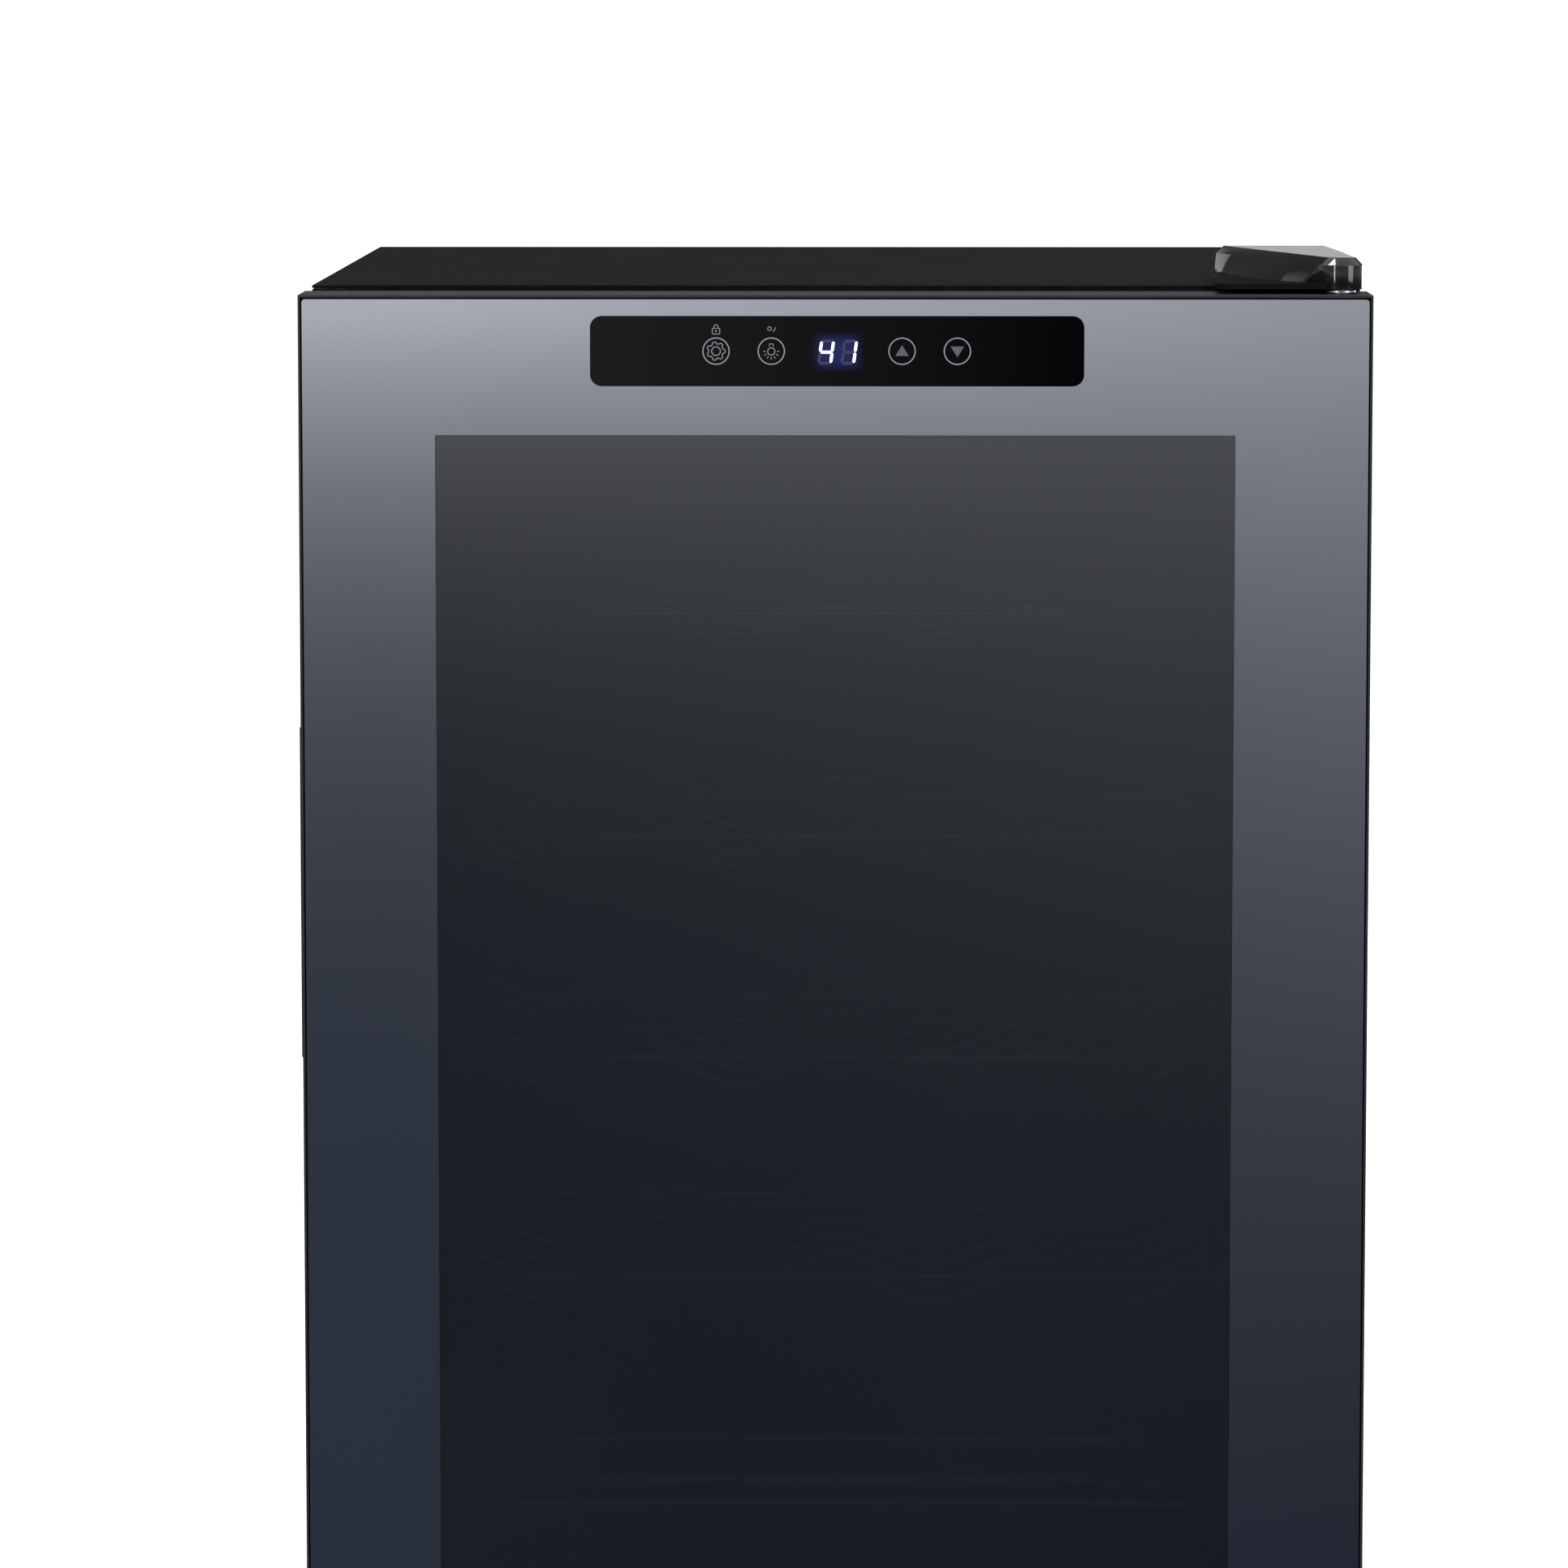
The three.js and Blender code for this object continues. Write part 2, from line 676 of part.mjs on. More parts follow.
function fanRotor() {
  const hub = post(15, -5, 0, 18).rotateX(Math.PI / 2).translate(0, 0.8, 0);
  const blades = Array.from({ length: FAN_BLADES }, (_, i) => (
    box([14, FAN_BORE - 2], [2, 3.2], [-7, 7])
      .rotateX(THREE.MathUtils.degToRad(24))
      .translate(0, 1.2, 0)
      .rotateY((i / FAN_BLADES) * 2 * Math.PI)
  ));
  return joined(hub, ...blades);
}

function airParts(parent) {
  node(parent, 'back_air_panel', airPanel(), 'liner');
  const evaporator = box(
    mirrored(airPanelHalf - 22),
    [evaporatorY, evaporatorY + EVAPORATOR],
    [airPanelZ[0] + 27, airPanelZ[1] - 37],
  );
  node(parent, 'evaporator_plate', evaporator, 'aluminium');
  const fan = groupAt(parent, 0, fanY, fanZ);
  node(fan, 'fan_frame', fanFrame(), 'blackPlastic');
  const motor = post(11, -FAN_THICKNESS + 2 + GAP, -6.5, 18).rotateX(Math.PI / 2);
  node(fan, 'fan_motor', motor, 'greyPlastic');
  node(fan, 'fan_rotor', fanRotor(), 'blackPlastic');
  const screwX = airPanelHalf - AIR_SCREW_INSET;
  const airScrew = shortScrew(AIR_PANEL + 4);
  const screwZ = topShelf - AIR_SCREW_DROP;
  node(parent, 'air_panel_screw_1', airScrew, 'steel', [-screwX, airPanelY - GAP, screwZ]);
  node(parent, 'air_panel_screw_2', airScrew, 'steel', [screwX, airPanelY - GAP, screwZ]);
}

function lightAndSensor(parent) {
  const y = shelfFront + 16;
  const light = groupAt(parent, 0, y, cavityTop);
  node(light, 'led_strip', box(mirrored(100), mirrored(4), [-3.6, -2]), 'lens');
  const lens = cut(
    box(mirrored(104), mirrored(8), [-9, -GAP]),
    box(mirrored(102.5), mirrored(6.5), [-7.5, 1]),
  );
  node(light, 'led_lens', lens, 'lens');
  const sensor = turned([[0, -9], [2.5, -8], [3.2, -6], [3.2, 6], [2.5, 8], [0, 9]], 12);
  const ledgeUnder = SHELF_RISE + FRAME_ROD + GAP + LEDGE_HEIGHT;
  const sensorZ = topShelf - shelfPitch - (shelfPitch + ledgeUnder) / 2;
  const sensorPlace = [cavityHalf - 3.2 - GAP, waveShelfRear - 30, sensorZ];
  node(parent, 'temperature_sensor', sensor, 'greyPlastic', sensorPlace);
}

// ---------------------------------------------------------------------------
// Shelves: local origin at the middle of the front rod
// ---------------------------------------------------------------------------

// Side and rear rods in one piece, low, rising to the front rod at both ends.
function shelfFrame(depth) {
  const side = (sign) => [
    [sign * shelfHalf, 0, 0],
    [sign * shelfHalf, SHELF_RISE, -SHELF_RISE],
    [sign * shelfHalf, depth, -SHELF_RISE],
  ];
  const [left0, left1, left2] = side(-1);
  const [right0, right1, right2] = side(1);
  const rearRun = rounded([left1, left2, right2, right1], REAR_CORNER, 5);
  return tube([left0, ...rearRun, right0], FRAME_ROD, 7);
}

// One wavy wire across the shelf; bottles lie in its troughs.
function waveWire(y) {
  const lanes = Math.floor((2 * shelfHalf) / BOTTLE_PITCH);
  const reach = (lanes * BOTTLE_PITCH) / 2;
  const middle = -SHELF_RISE + FRAME_ROD + WAVE_HEIGHT / 2 - WAVE_ROD;
  const steps = lanes * WAVE_STEPS;
  const points = [[-shelfHalf, y, -SHELF_RISE]];
  for (let i = 0; i <= steps; i += 1) {
    const x = -reach + (i / steps) * 2 * reach;
    const phase = ((x + reach) / BOTTLE_PITCH) * 2 * Math.PI;
    points.push([x, y, middle + (WAVE_HEIGHT / 2) * Math.cos(phase)]);
  }
  points.push([shelfHalf, y, -SHELF_RISE]);
  return tube(points, WAVE_ROD, 4);
}

function frontRod(y, z, radius = FRONT_ROD) {
  return tube([[-shelfHalf - FRAME_ROD / 2, y, z], [shelfHalf + FRAME_ROD / 2, y, z]], radius, 7);
}

function waveShelf(depth) {
  const first = SHELF_RISE + 5;
  const last = depth - REAR_CORNER - 5;
  const wires = Array.from({ length: WAVE_WIRES }, (_, i) => (
    waveWire(first + (i * (last - first)) / (WAVE_WIRES - 1))
  ));
  return joined(shelfFrame(depth), frontRod(0, 0), ...wires);
}

// The lowest shelf is flat: straight bars run back from the front rod and down to the rear rod.
function ladderShelf(depth) {
  const count = 2 * Math.floor((shelfHalf - LADDER_PITCH / 3) / LADDER_PITCH) + 1;
  const bars = Array.from({ length: count }, (_, i) => {
    const x = (i - (count - 1) / 2) * LADDER_PITCH;
    return tube(
      rounded([[x, 0, 0], [x, depth - SHELF_RISE, 0], [x, depth, -SHELF_RISE]], SHELF_RISE / 2, 3),
      WAVE_ROD,
      4,
    );
  });
  return joined(shelfFrame(depth), frontRod(0, 0), frontRod(LADDER_CROSS, -FRONT_ROD), ...bars);
}

function shelfParts(parent) {
  shelves.forEach(({ z, rear, ladder }, i) => {
    const depth = rear - shelfFront;
    const geometry = ladder ? ladderShelf(depth) : waveShelf(depth);
    node(parent, `shelf_${i + 1}`, geometry, 'chrome', [0, shelfFront, z]);
  });
}

// ---------------------------------------------------------------------------
// Compressor bay and rear
// ---------------------------------------------------------------------------

const compressorY = bayFront + BAY_DEPTH / 2;
const potBottom = baseTop + COMPRESSOR_LEGS;
const potTop = potBottom + COMPRESSOR_BODY;

function compressorBody() {
  const r = COMPRESSOR_HALF_WIDTH;
  const pot = turned([
    [0, 0],
    [r * 0.8, 0],
    [r * 0.96, 14],
    [r * 0.96, 52],
    [r, 54],
    [r, 60],
    [r * 0.96, 62],
    [r * 0.92, 92],
    [r * 0.7, 106],
    [0, COMPRESSOR_BODY],
  ], 24).scale(1, COMPRESSOR_HALF_DEPTH / r, 1);
  const plate = box(mirrored(r + 6), mirrored(COMPRESSOR_HALF_DEPTH - 6), [-2, 1]);
  const legs = [-1, 1].flatMap((sx) => [-1, 1].map((sy) => (
    post(7, -COMPRESSOR_LEGS + GAP, 0, 12).translate(sx * (r - 3), sy * (COMPRESSOR_HALF_DEPTH - 14), 0)
  )));
  return joined(pot, plate, ...legs);
}

function coil() {
  const x = cabinetHalf - COIL_SIDE;
  const y = backPanelY + (cabinetRear - SHEET - backPanelY) / 2;
  const top = cabinetTop - FOLD - 16;
  const rows = Math.floor((top - bayTop - 40) / COIL_PITCH);
  const radius = COIL_PITCH / 2;
  const points = [];
  for (let row = 0; row < rows; row += 1) {
    const z = top - row * COIL_PITCH;
    const out = row % 2 === 0 ? 1 : -1;
    points.push([-out * (x - radius), y, z]);
    if (row < rows - 1) {
      const bend = arc(out * (x - radius), z - radius, radius, 90, -90, 5);
      points.push(...bend.map(([bx, bz]) => [out * (x - radius) + (bx - out * (x - radius)) * out, y, bz]));
    }
  }
  const lastZ = top - (rows - 1) * COIL_PITCH;
  const end = rows % 2 === 0 ? -1 : 1;
  const tail = rounded([
    points[points.length - 1],
    [end * (x - radius), y, lastZ],
    [end * (x - radius), y, bayTop - COIL_TAIL],
  ], 12, 4);
  return tube([...points, ...tail.slice(1)], COIL_ROD, 5);
}

function rearCover() {
  const y0 = cabinetRear + GAP;
  const plate = box(mirrored(cabinetHalf - COVER_TUCK), [y0, y0 + REAR_COVER], [baseZ + 2, bayTop - 1]);
  const ribs = [-1, 1].map((side) => {
    const x = side * (cabinetHalf - 24);
    return box([x - 4, x + 4], [y0, cabinetRear + REAR_RIB], [baseZ + 6, bayTop - 5]);
  });
  const slotY = [y0 - 1, y0 + 3];
  const middle = (baseZ + bayTop) / 2;
  return shaped(plate, ribs, [
    ...slotRow(14, 16, 6, [middle - 52, middle - 6], slotY),
    ...slotRow(14, 16, 6, [middle + 6, middle + 52], slotY),
    post(GLAND_RADIUS + GAP, -5, 5).rotateX(Math.PI / 2).translate(GLAND_X, y0 + 1, GLAND_Z),
  ]);
}

function cordGland() {
  const y0 = cabinetRear + GAP;
  const face = -REAR_COVER - GAP;
  const barrel = post(GLAND_RADIUS, face - 0.5, 9).rotateX(Math.PI / 2);
  const flange = post(GLAND_RADIUS + GLAND_FLANGE, face - 2, face).rotateX(Math.PI / 2);
  const bore = post(GLAND_RADIUS - 3, -6, 12).rotateX(Math.PI / 2);
  return shaped(barrel, [flange], [bore]).translate(GLAND_X, y0, GLAND_Z);
}

function bayParts(parent) {
  node(parent, 'compressor', compressorBody(), 'blackPaint', [COMPRESSOR_X, compressorY, potBottom]);
  const right = COMPRESSOR_X + COMPRESSOR_HALF_WIDTH + GAP;
  const terminal = box([right, right + 26], mirrored(22), [28, 84]);
  node(parent, 'terminal_cover', terminal, 'blackPlastic', [0, compressorY, potBottom]);
  const tray = cut(
    box(mirrored(70), mirrored(50), [0, 13]),
    box(mirrored(68), mirrored(48), [2, 14]),
  );
  node(parent, 'evaporation_tray', tray, 'greyPlastic', [COMPRESSOR_X, compressorY, potTop + GAP]);
  const drier = turned([[0, -48], [3, -48], [3, -38], [9, -32], [9, 32], [3, 38], [3, 48], [0, 48]], 14);
  node(parent, 'filter_drier', drier.rotateY(Math.PI / 2), 'copper', [115, bayFront + 16, bayTop - 22]);
  const suctionX = 78;
  const suctionY = compressorY + 24;
  const suction = tube(rounded([
    [suctionX, suctionY, potBottom + 24],
    [suctionX, suctionY, bayTop - 14],
    [suctionX, backPanelY + 2 * TUBE_ROD, bayTop - 14],
    [suctionX, backPanelY + 2 * TUBE_ROD, bayTop + 30],
  ], 9, 4), TUBE_ROD, 8);
  node(parent, 'suction_tube', suction, 'copper');
  const boxX = [cabinetHalf - 112, cabinetHalf - 14];
  const control = box(boxX, [bayFront + 6, bayFront + 72], [baseTop + GAP, baseTop + 56]);
  node(parent, 'control_box', control, 'blackPlastic');
  node(parent, 'condenser_coil', coil(), 'blackPaint');
  node(parent, 'rear_cover', rearCover(), 'blackPaint');
  node(parent, 'cord_gland', cordGland(), 'blackPlastic');
}

// ---------------------------------------------------------------------------
// Hinges and feet
// ---------------------------------------------------------------------------

const pinRoom = PIN_RADIUS + PIN_CLEARANCE;

function topPlateOutline(grow = 0) {
  const left = cabinetHalf - PLATE_LEFT - grow;
  const right = cabinetHalf - 1 + grow;
  const rear = cabinetFront + PLATE_REAR + grow;
  const front = hingeY - ARM_HALF - grow;
  return [
    [left + PLATE_TAPER, rear],
    [left + PLATE_TAPER / 2, rear - 20],
    [left, front + 4],
    [left + 4, front],
    ...arc(hingeX, hingeY, ARM_HALF + grow, 270, 360, 5),
    [hingeX + ARM_HALF + grow, cabinetFront - 4],
    [right, cabinetFront],
    [right, rear],
  ];
}

function topPlate() {
  return cut(
    slab(topPlateOutline(), 0, HINGE_PLATE),
    post(pinRoom, -1, HINGE_PLATE + 1).translate(hingeX, hingeY, 0),
    ...screwRooms(topScrews, -1, HINGE_PLATE + 1),
  );
}

function coverNose(radius) {
  return arc(hingeX, hingeY, radius, 190, 350, 9);
}

// The hinge cover's foot: a long left side, a round nose about the pin, a straight right side.
// `inset` shrinks it for the hollow.
function coverFoot(inset) {
  const rearY = coverRear - inset;
  const nose = coverNose(COVER_NOSE - inset);
  const bend = [hingeX - 49 + inset, hingeY + 25];
  const side = RIDGE_SHARES.map((t) => nose[0].map((end, i) => (
    (1 - t) ** 2 * [hingeX - 45 + inset, rearY][i] + 2 * t * (1 - t) * bend[i] + t ** 2 * end
  )));
  return [...side, ...nose, [cabinetHalf - 0.8 - inset, rearY]];
}

// The left edge of the top face runs straight from the rear to the nose.
function coverRidge(inset) {
  const from = [hingeX - 41 + inset, coverRear - inset];
  const to = [hingeX - coverTopNose + inset, hingeY + 2];
  return RIDGE_SHARES.map((share) => from.map((value, i) => value + (to[i] - value) * share));
}

// The crease where the leaning wall meets the narrow shoulder under the ridge.
function coverCrease(inset) {
  return [
    ...coverRidge(inset).map(([x, y]) => [x - COVER_CREASE, y]),
    ...coverNose(COVER_NOSE - inset),
    [cabinetHalf - 0.8 - inset, coverRear - inset],
  ];
}

function coverTop(inset) {
  return [
    ...coverRidge(inset),
    ...coverNose(coverTopNose - inset),
    [hingeX + 1 - inset, coverRear - inset],
  ];
}

function coverSkin(inset, z0, z1) {
  return loft([
    { z: z0, outline: coverFoot(inset) },
    { z: z1 - COVER_SHOULDER, outline: coverCrease(inset) },
    { z: z1, outline: coverTop(inset) },
  ]);
}

function hingeCover() {
  return cut(
    coverSkin(0, GAP, COVER_HEIGHT),
    coverSkin(COVER_WALL, -1, COVER_HEIGHT - COVER_WALL),
    slab(topPlateOutline(2 * GAP), -1, HINGE_PLATE + GAP),
  );
}

function bracketOutline() {
  const left = cabinetHalf - BRACKET_LEFT;
  const right = cabinetHalf - 2;
  return [
    [left, cabinetFront + BRACKET_REAR],
    [left, cabinetFront + 6],
    [hingeX - ARM_HALF, cabinetFront - 6],
    ...arc(hingeX, hingeY, ARM_HALF, 180, 360, 8),
    [right, cabinetFront],
    [right, cabinetFront + BRACKET_REAR],
  ];
}

function bracket() {
  return cut(
    slab(bracketOutline(), -BRACKET_PLATE, 0),
    post(pinRoom, -BRACKET_PLATE - 1, 1).translate(hingeX, hingeY, 0),
    ...studRooms(STUD_RADIUS + 2, -BRACKET_PLATE - 1, 1),
    ...screwRooms(bottomScrews, -BRACKET_PLATE - 1, 1),
  );
}

// A headed pin pointing down from the underside of its head.
function headedPin(length) {
  return turned([
    [0, -length],
    [PIN_RADIUS - 0.5, -length],
    [PIN_RADIUS, -length + 1],
    [PIN_RADIUS, 0],
    [PIN_HEAD_RADIUS, 0],
    [PIN_HEAD_RADIUS, PIN_HEAD * 0.6],
    [PIN_HEAD_RADIUS - 1, PIN_HEAD],
    [0, PIN_HEAD],
  ], 20);
}

function hingeParts(parent) {
  const topHinge = groupAt(parent, 0, 0, cabinetTop + GAP);
  const plateTop = cabinetTop + GAP + HINGE_PLATE;
  node(topHinge, 'top_hinge_plate', topPlate(), 'blackPaint');
  node(topHinge, 'top_hinge_cover', hingeCover().translate(0, 0, -GAP), 'glossBlack');
  const topPin = headedPin(plateTop + GAP - doorTop + PIN_IN_DOOR);
  node(parent, 'top_hinge_pin', topPin, 'steel', [hingeX, hingeY, plateTop + GAP]);
  const room = cabinetTop + GAP - doorTop;
  const washer = cut(post(WASHER_RADIUS, GAP, room - GAP, 24), post(pinRoom, -1, room + 1));
  node(parent, 'hinge_washer', washer, 'steel', [hingeX, hingeY, doorTop]);
  topScrews.forEach(([x, y], i) => {
    node(parent, `top_hinge_screw_${i + 1}`, screwBody(), 'steel', [x, y, plateTop + GAP]);
  });

  const bracketTop = baseZ - GAP;
  node(parent, 'bottom_hinge_bracket', bracket(), 'steel', [0, 0, bracketTop]);
  const underside = bracketTop - BRACKET_PLATE - GAP;
  const bottomPin = headedPin(doorBottom - underside + PIN_IN_DOOR).rotateX(Math.PI);
  node(parent, 'bottom_hinge_pin', bottomPin, 'steel', [hingeX, hingeY, underside]);
  bottomScrews.forEach(([x, y], i) => {
    const screw = screwBody().rotateX(Math.PI);
    node(parent, `bottom_hinge_screw_${i + 1}`, screw, 'steel', [x, y, underside]);
  });
}

function feet(parent) {
  const levelling = turned([
    [0, 0],
    [FOOT_RADIUS - 1, 0],
    [FOOT_RADIUS, 1],
    [FOOT_RADIUS, FOOT_PAD - 2],
    [STUD_RADIUS + 4, FOOT_PAD],
    [STUD_RADIUS, FOOT_PAD],
    [STUD_RADIUS, STUD_TOP - 1],
    [STUD_RADIUS - 1, STUD_TOP],
    [0, STUD_TOP],
  ], 20);
  const fixedHeight = baseZ - GAP;
  const fixed = turned([
    [0, 0],
    [FOOT_RADIUS - 2, 0],
    [FOOT_RADIUS - 1, 1],
    [FOOT_RADIUS + 2, fixedHeight - 2],
    [FOOT_RADIUS + 2, fixedHeight],
    [0, fixedHeight],
  ], 20);
  for (const [side, x] of [['left', -footX], ['right', footX]]) {
    node(parent, `front_foot_${side}`, levelling, 'blackPlastic', [x, footY, 0]);
    node(parent, `rear_foot_${side}`, fixed, 'blackPlastic', [x, cabinetRear - REAR_FOOT_SETBACK, 0]);
  }
}

// ---------------------------------------------------------------------------
// Door: local origin on its front face, at the middle of its bottom edge
// ---------------------------------------------------------------------------

const frameInner = half - DOOR_RAIL;
const frameInnerZ = [DOOR_RAIL, doorHeight - DOOR_RAIL];
const windowHalf = half - WINDOW_BORDER;
const windowZ = [WINDOW_BORDER, doorHeight - WINDOW_BORDER];
const controlZ = doorHeight - CONTROL_DROP - CONTROL_HEIGHT / 2;
const gripZ = doorHeight - GRIP_DROP;
const glassRear = OUTER_GLASS + GAP;
const innerGlassY = OUTER_GLASS + GLASS_SPACE;

const inward = ([low, high], by) => [low + by, high - by];

function gripRoom(grow) {
  return box(
    [-half - 5, -half + GRIP_INSIDE + grow],
    [GRIP_FROM_FRONT - grow, GRIP_FROM_FRONT + GRIP_DEPTH + grow],
    [gripZ - GRIP_LENGTH / 2 - grow, gripZ + GRIP_LENGTH / 2 + grow],
  );
}

function doorFrame() {
  const bushingRoom = (z0, z1) => post(BUSHING_RADIUS + GAP, z0, z1, 20)
    .translate(hingeX, HINGE_SETBACK, 0);
  return cut(
    ring(half, [0, doorHeight], frameInner, frameInnerZ, [GAP, DOOR_FRAME_DEPTH]),
    box(mirrored(half - DOOR_LIP), [-1, glassRear], inward([0, doorHeight], DOOR_LIP)),
    box(
      mirrored(CONTROL_WIDTH / 2 + CONTROL_WALL + 2 * GAP),
      [0, glassRear + CONTROL_DEPTH + GAP],
      mirrored(CONTROL_HEIGHT / 2 + CONTROL_WALL + GAP).map((z) => z + controlZ),
    ),
    gripRoom(GAP),
    bushingRoom(-1, BUSHING_LENGTH + GAP),
    bushingRoom(doorHeight - BUSHING_LENGTH - GAP, doorHeight + 1),
  );
}

function innerFrame() {
  const outerHalf = half - INNER_FRAME_INSET;
  const y = [DOOR_FRAME_DEPTH + GAP, DOOR_THICKNESS];
  const neckY = [innerGlassY + INNER_GLASS + GAP, DOOR_FRAME_DEPTH + GAP + 1];
  return joined(
    ring(outerHalf, inward([0, doorHeight], INNER_FRAME_INSET), windowHalf, windowZ, y),
    ring(frameInner - GAP, inward(frameInnerZ, GAP), windowHalf, windowZ, neckY),
  );
}

function grip() {
  const body = box(
    [-half - GRIP_PROUD, -half + GRIP_INSIDE],
    [GRIP_FROM_FRONT, GRIP_FROM_FRONT + GRIP_DEPTH],
    mirrored(GRIP_LENGTH / 2),
  );
  const chamfer = (sign) => box([-2, 2], [-40, 40], [-2, 2])
    .rotateY(Math.PI / 4)
    .translate(-half - GRIP_PROUD, GRIP_FROM_FRONT + GRIP_DEPTH / 2, (sign * GRIP_LENGTH) / 2);
  const scoop = box(
    [-half - 5, -half + GRIP_INSIDE - GRIP_WALL],
    [GRIP_FROM_FRONT + GRIP_WALL + 2, GRIP_FROM_FRONT + GRIP_DEPTH - GRIP_WALL],
    mirrored(GRIP_LENGTH / 2 - GRIP_END),
  );
  return cut(body, chamfer(1), chamfer(-1), scoop);
}

// The top bushing is a plain sleeve under the door's top edge.
function topBushing() {
  return cut(
    post(BUSHING_RADIUS, -BUSHING_LENGTH, 0, 20),
    post(pinRoom, -BUSHING_LENGTH - 1, 1, 20),
  );
}

// The bottom bushing stands on the bracket with a collar.
function bottomBushing() {
  const stand = DOOR_BOTTOM_RISE;
  const barrel = post(BUSHING_RADIUS, -stand, BUSHING_LENGTH, 20);
  const collar = post(BUSHING_FLANGE, -stand, -GAP, 20);
  return shaped(barrel, [collar], [post(pinRoom, -stand - 1, BUSHING_LENGTH + 1, 20)]);
}

function doorParts(parent) {
  const door = groupAt(parent, 0, frontY, doorBottom);
  const glass = box(
    mirrored(half - DOOR_LIP - GAP),
    [0, OUTER_GLASS],
    inward([0, doorHeight], DOOR_LIP + GAP),
  );
  node(door, 'outer_glass', glass, 'mirrorGlass');
  node(door, 'door_frame', doorFrame(), 'blackPlastic');
  node(door, 'door_inner_frame', innerFrame(), 'blackPlastic');
  const spacerHalf = frameInner - 2;
  const spacerZ = inward(frameInnerZ, 2);
  const spacer = ring(
    spacerHalf,
    spacerZ,
    spacerHalf - SPACER_WIDTH,
    inward(spacerZ, SPACER_WIDTH),
    [glassRear, innerGlassY - GAP],
  );
  node(door, 'spacer_bar', spacer, 'aluminium');
  const inner = box(
    mirrored(frameInner - GAP),
    [innerGlassY, innerGlassY + INNER_GLASS],
    inward(frameInnerZ, GAP),
  );
  node(door, 'inner_glass', inner, 'clearGlass');
  const gasketHalf = hingeX - GASKET_TO_PIN;
  const gasketZ = inward([0, doorHeight], half - gasketHalf);
  const seal = ring(
    gasketHalf,
    gasketZ,
    gasketHalf - GASKET_WIDTH,
    inward(gasketZ, GASKET_WIDTH),
    [DOOR_THICKNESS + GAP, DOOR_THICKNESS + DOOR_GAP - GAP],
  );
  node(door, 'gasket', seal, 'rubber');

  const housing = cut(
    box(
      mirrored(CONTROL_WIDTH / 2 + CONTROL_WALL),
      [glassRear, glassRear + CONTROL_DEPTH],
      mirrored(CONTROL_HEIGHT / 2 + CONTROL_WALL),
    ),
    box(
      mirrored(CONTROL_WIDTH / 2),
      [glassRear - 1, glassRear + CONTROL_DEPTH - CONTROL_WALL],
      mirrored(CONTROL_HEIGHT / 2),
    ),
  );
  node(door, 'display_housing', housing, 'blackPlastic', [0, 0, controlZ]);
  const board = box(
    mirrored(CONTROL_WIDTH / 2 - GAP),
    [glassRear + 3, glassRear + 3 + BOARD],
    mirrored(CONTROL_HEIGHT / 2 - GAP),
  );
  node(door, 'display_board', board, 'boardGreen', [0, 0, controlZ]);

  node(door, 'handle', grip(), 'blackPlastic', [0, 0, gripZ]);
  node(door, 'top_bushing', topBushing(), 'greyPlastic', [hingeX, HINGE_SETBACK, doorHeight]);
  node(door, 'bottom_bushing', bottomBushing(), 'greyPlastic', [hingeX, HINGE_SETBACK, 0]);
}

// ---------------------------------------------------------------------------
// The whole cooler
// ---------------------------------------------------------------------------

cabinetShell(cooler);
airParts(cooler);
lightAndSensor(cooler);
shelfParts(cooler);
bayParts(cooler);
hingeParts(cooler);
feet(cooler);
doorParts(cooler);

const stepScrew = shortScrew(0.5);
for (const [i, x] of [-STEP_SCREW_X, STEP_SCREW_X].entries()) {
  node(cooler, `step_screw_${i + 1}`, stepScrew, 'steel', [x, stepFront - 1, stepTop - STEP_SCREW_DROP]);
}

export default cooler;
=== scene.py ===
import json
import math

import bmesh
import bpy
from bpy.props import FloatProperty, FloatVectorProperty, IntProperty, PointerProperty
from mathutils import Matrix, Vector
from mathutils.geometry import tessellate_polygon

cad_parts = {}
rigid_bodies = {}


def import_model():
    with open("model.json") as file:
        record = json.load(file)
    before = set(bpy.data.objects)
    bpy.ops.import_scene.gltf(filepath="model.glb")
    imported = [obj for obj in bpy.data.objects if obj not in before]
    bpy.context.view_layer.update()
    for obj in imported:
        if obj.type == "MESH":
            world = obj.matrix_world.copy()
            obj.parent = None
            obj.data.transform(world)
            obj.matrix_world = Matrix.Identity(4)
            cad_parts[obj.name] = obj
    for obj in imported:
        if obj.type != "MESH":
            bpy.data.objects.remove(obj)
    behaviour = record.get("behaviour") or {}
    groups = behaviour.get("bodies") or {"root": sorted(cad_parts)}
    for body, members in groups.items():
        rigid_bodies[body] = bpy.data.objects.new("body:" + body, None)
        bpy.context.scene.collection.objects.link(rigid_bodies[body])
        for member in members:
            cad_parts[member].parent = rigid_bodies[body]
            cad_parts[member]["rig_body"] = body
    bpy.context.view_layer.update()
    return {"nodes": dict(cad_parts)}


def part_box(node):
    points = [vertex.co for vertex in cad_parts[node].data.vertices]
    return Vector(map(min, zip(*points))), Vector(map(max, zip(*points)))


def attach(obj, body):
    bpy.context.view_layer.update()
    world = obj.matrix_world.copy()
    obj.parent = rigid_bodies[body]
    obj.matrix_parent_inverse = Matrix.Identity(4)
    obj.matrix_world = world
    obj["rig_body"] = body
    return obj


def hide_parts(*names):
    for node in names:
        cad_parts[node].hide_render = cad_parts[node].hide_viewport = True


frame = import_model()

bl_info = {
    "name": "Wine Cooler",
    "version": (1, 0, 0),
    "blender": (4, 5, 0),
    "location": "View3D > Sidebar > Wine Cooler",
    "description": "Builds a free-standing wine cooler with a mirrored glass door",
    "category": "Object",
}

MM = 0.001


# ---------------------------------------------------------------------------
# Settings
# ---------------------------------------------------------------------------


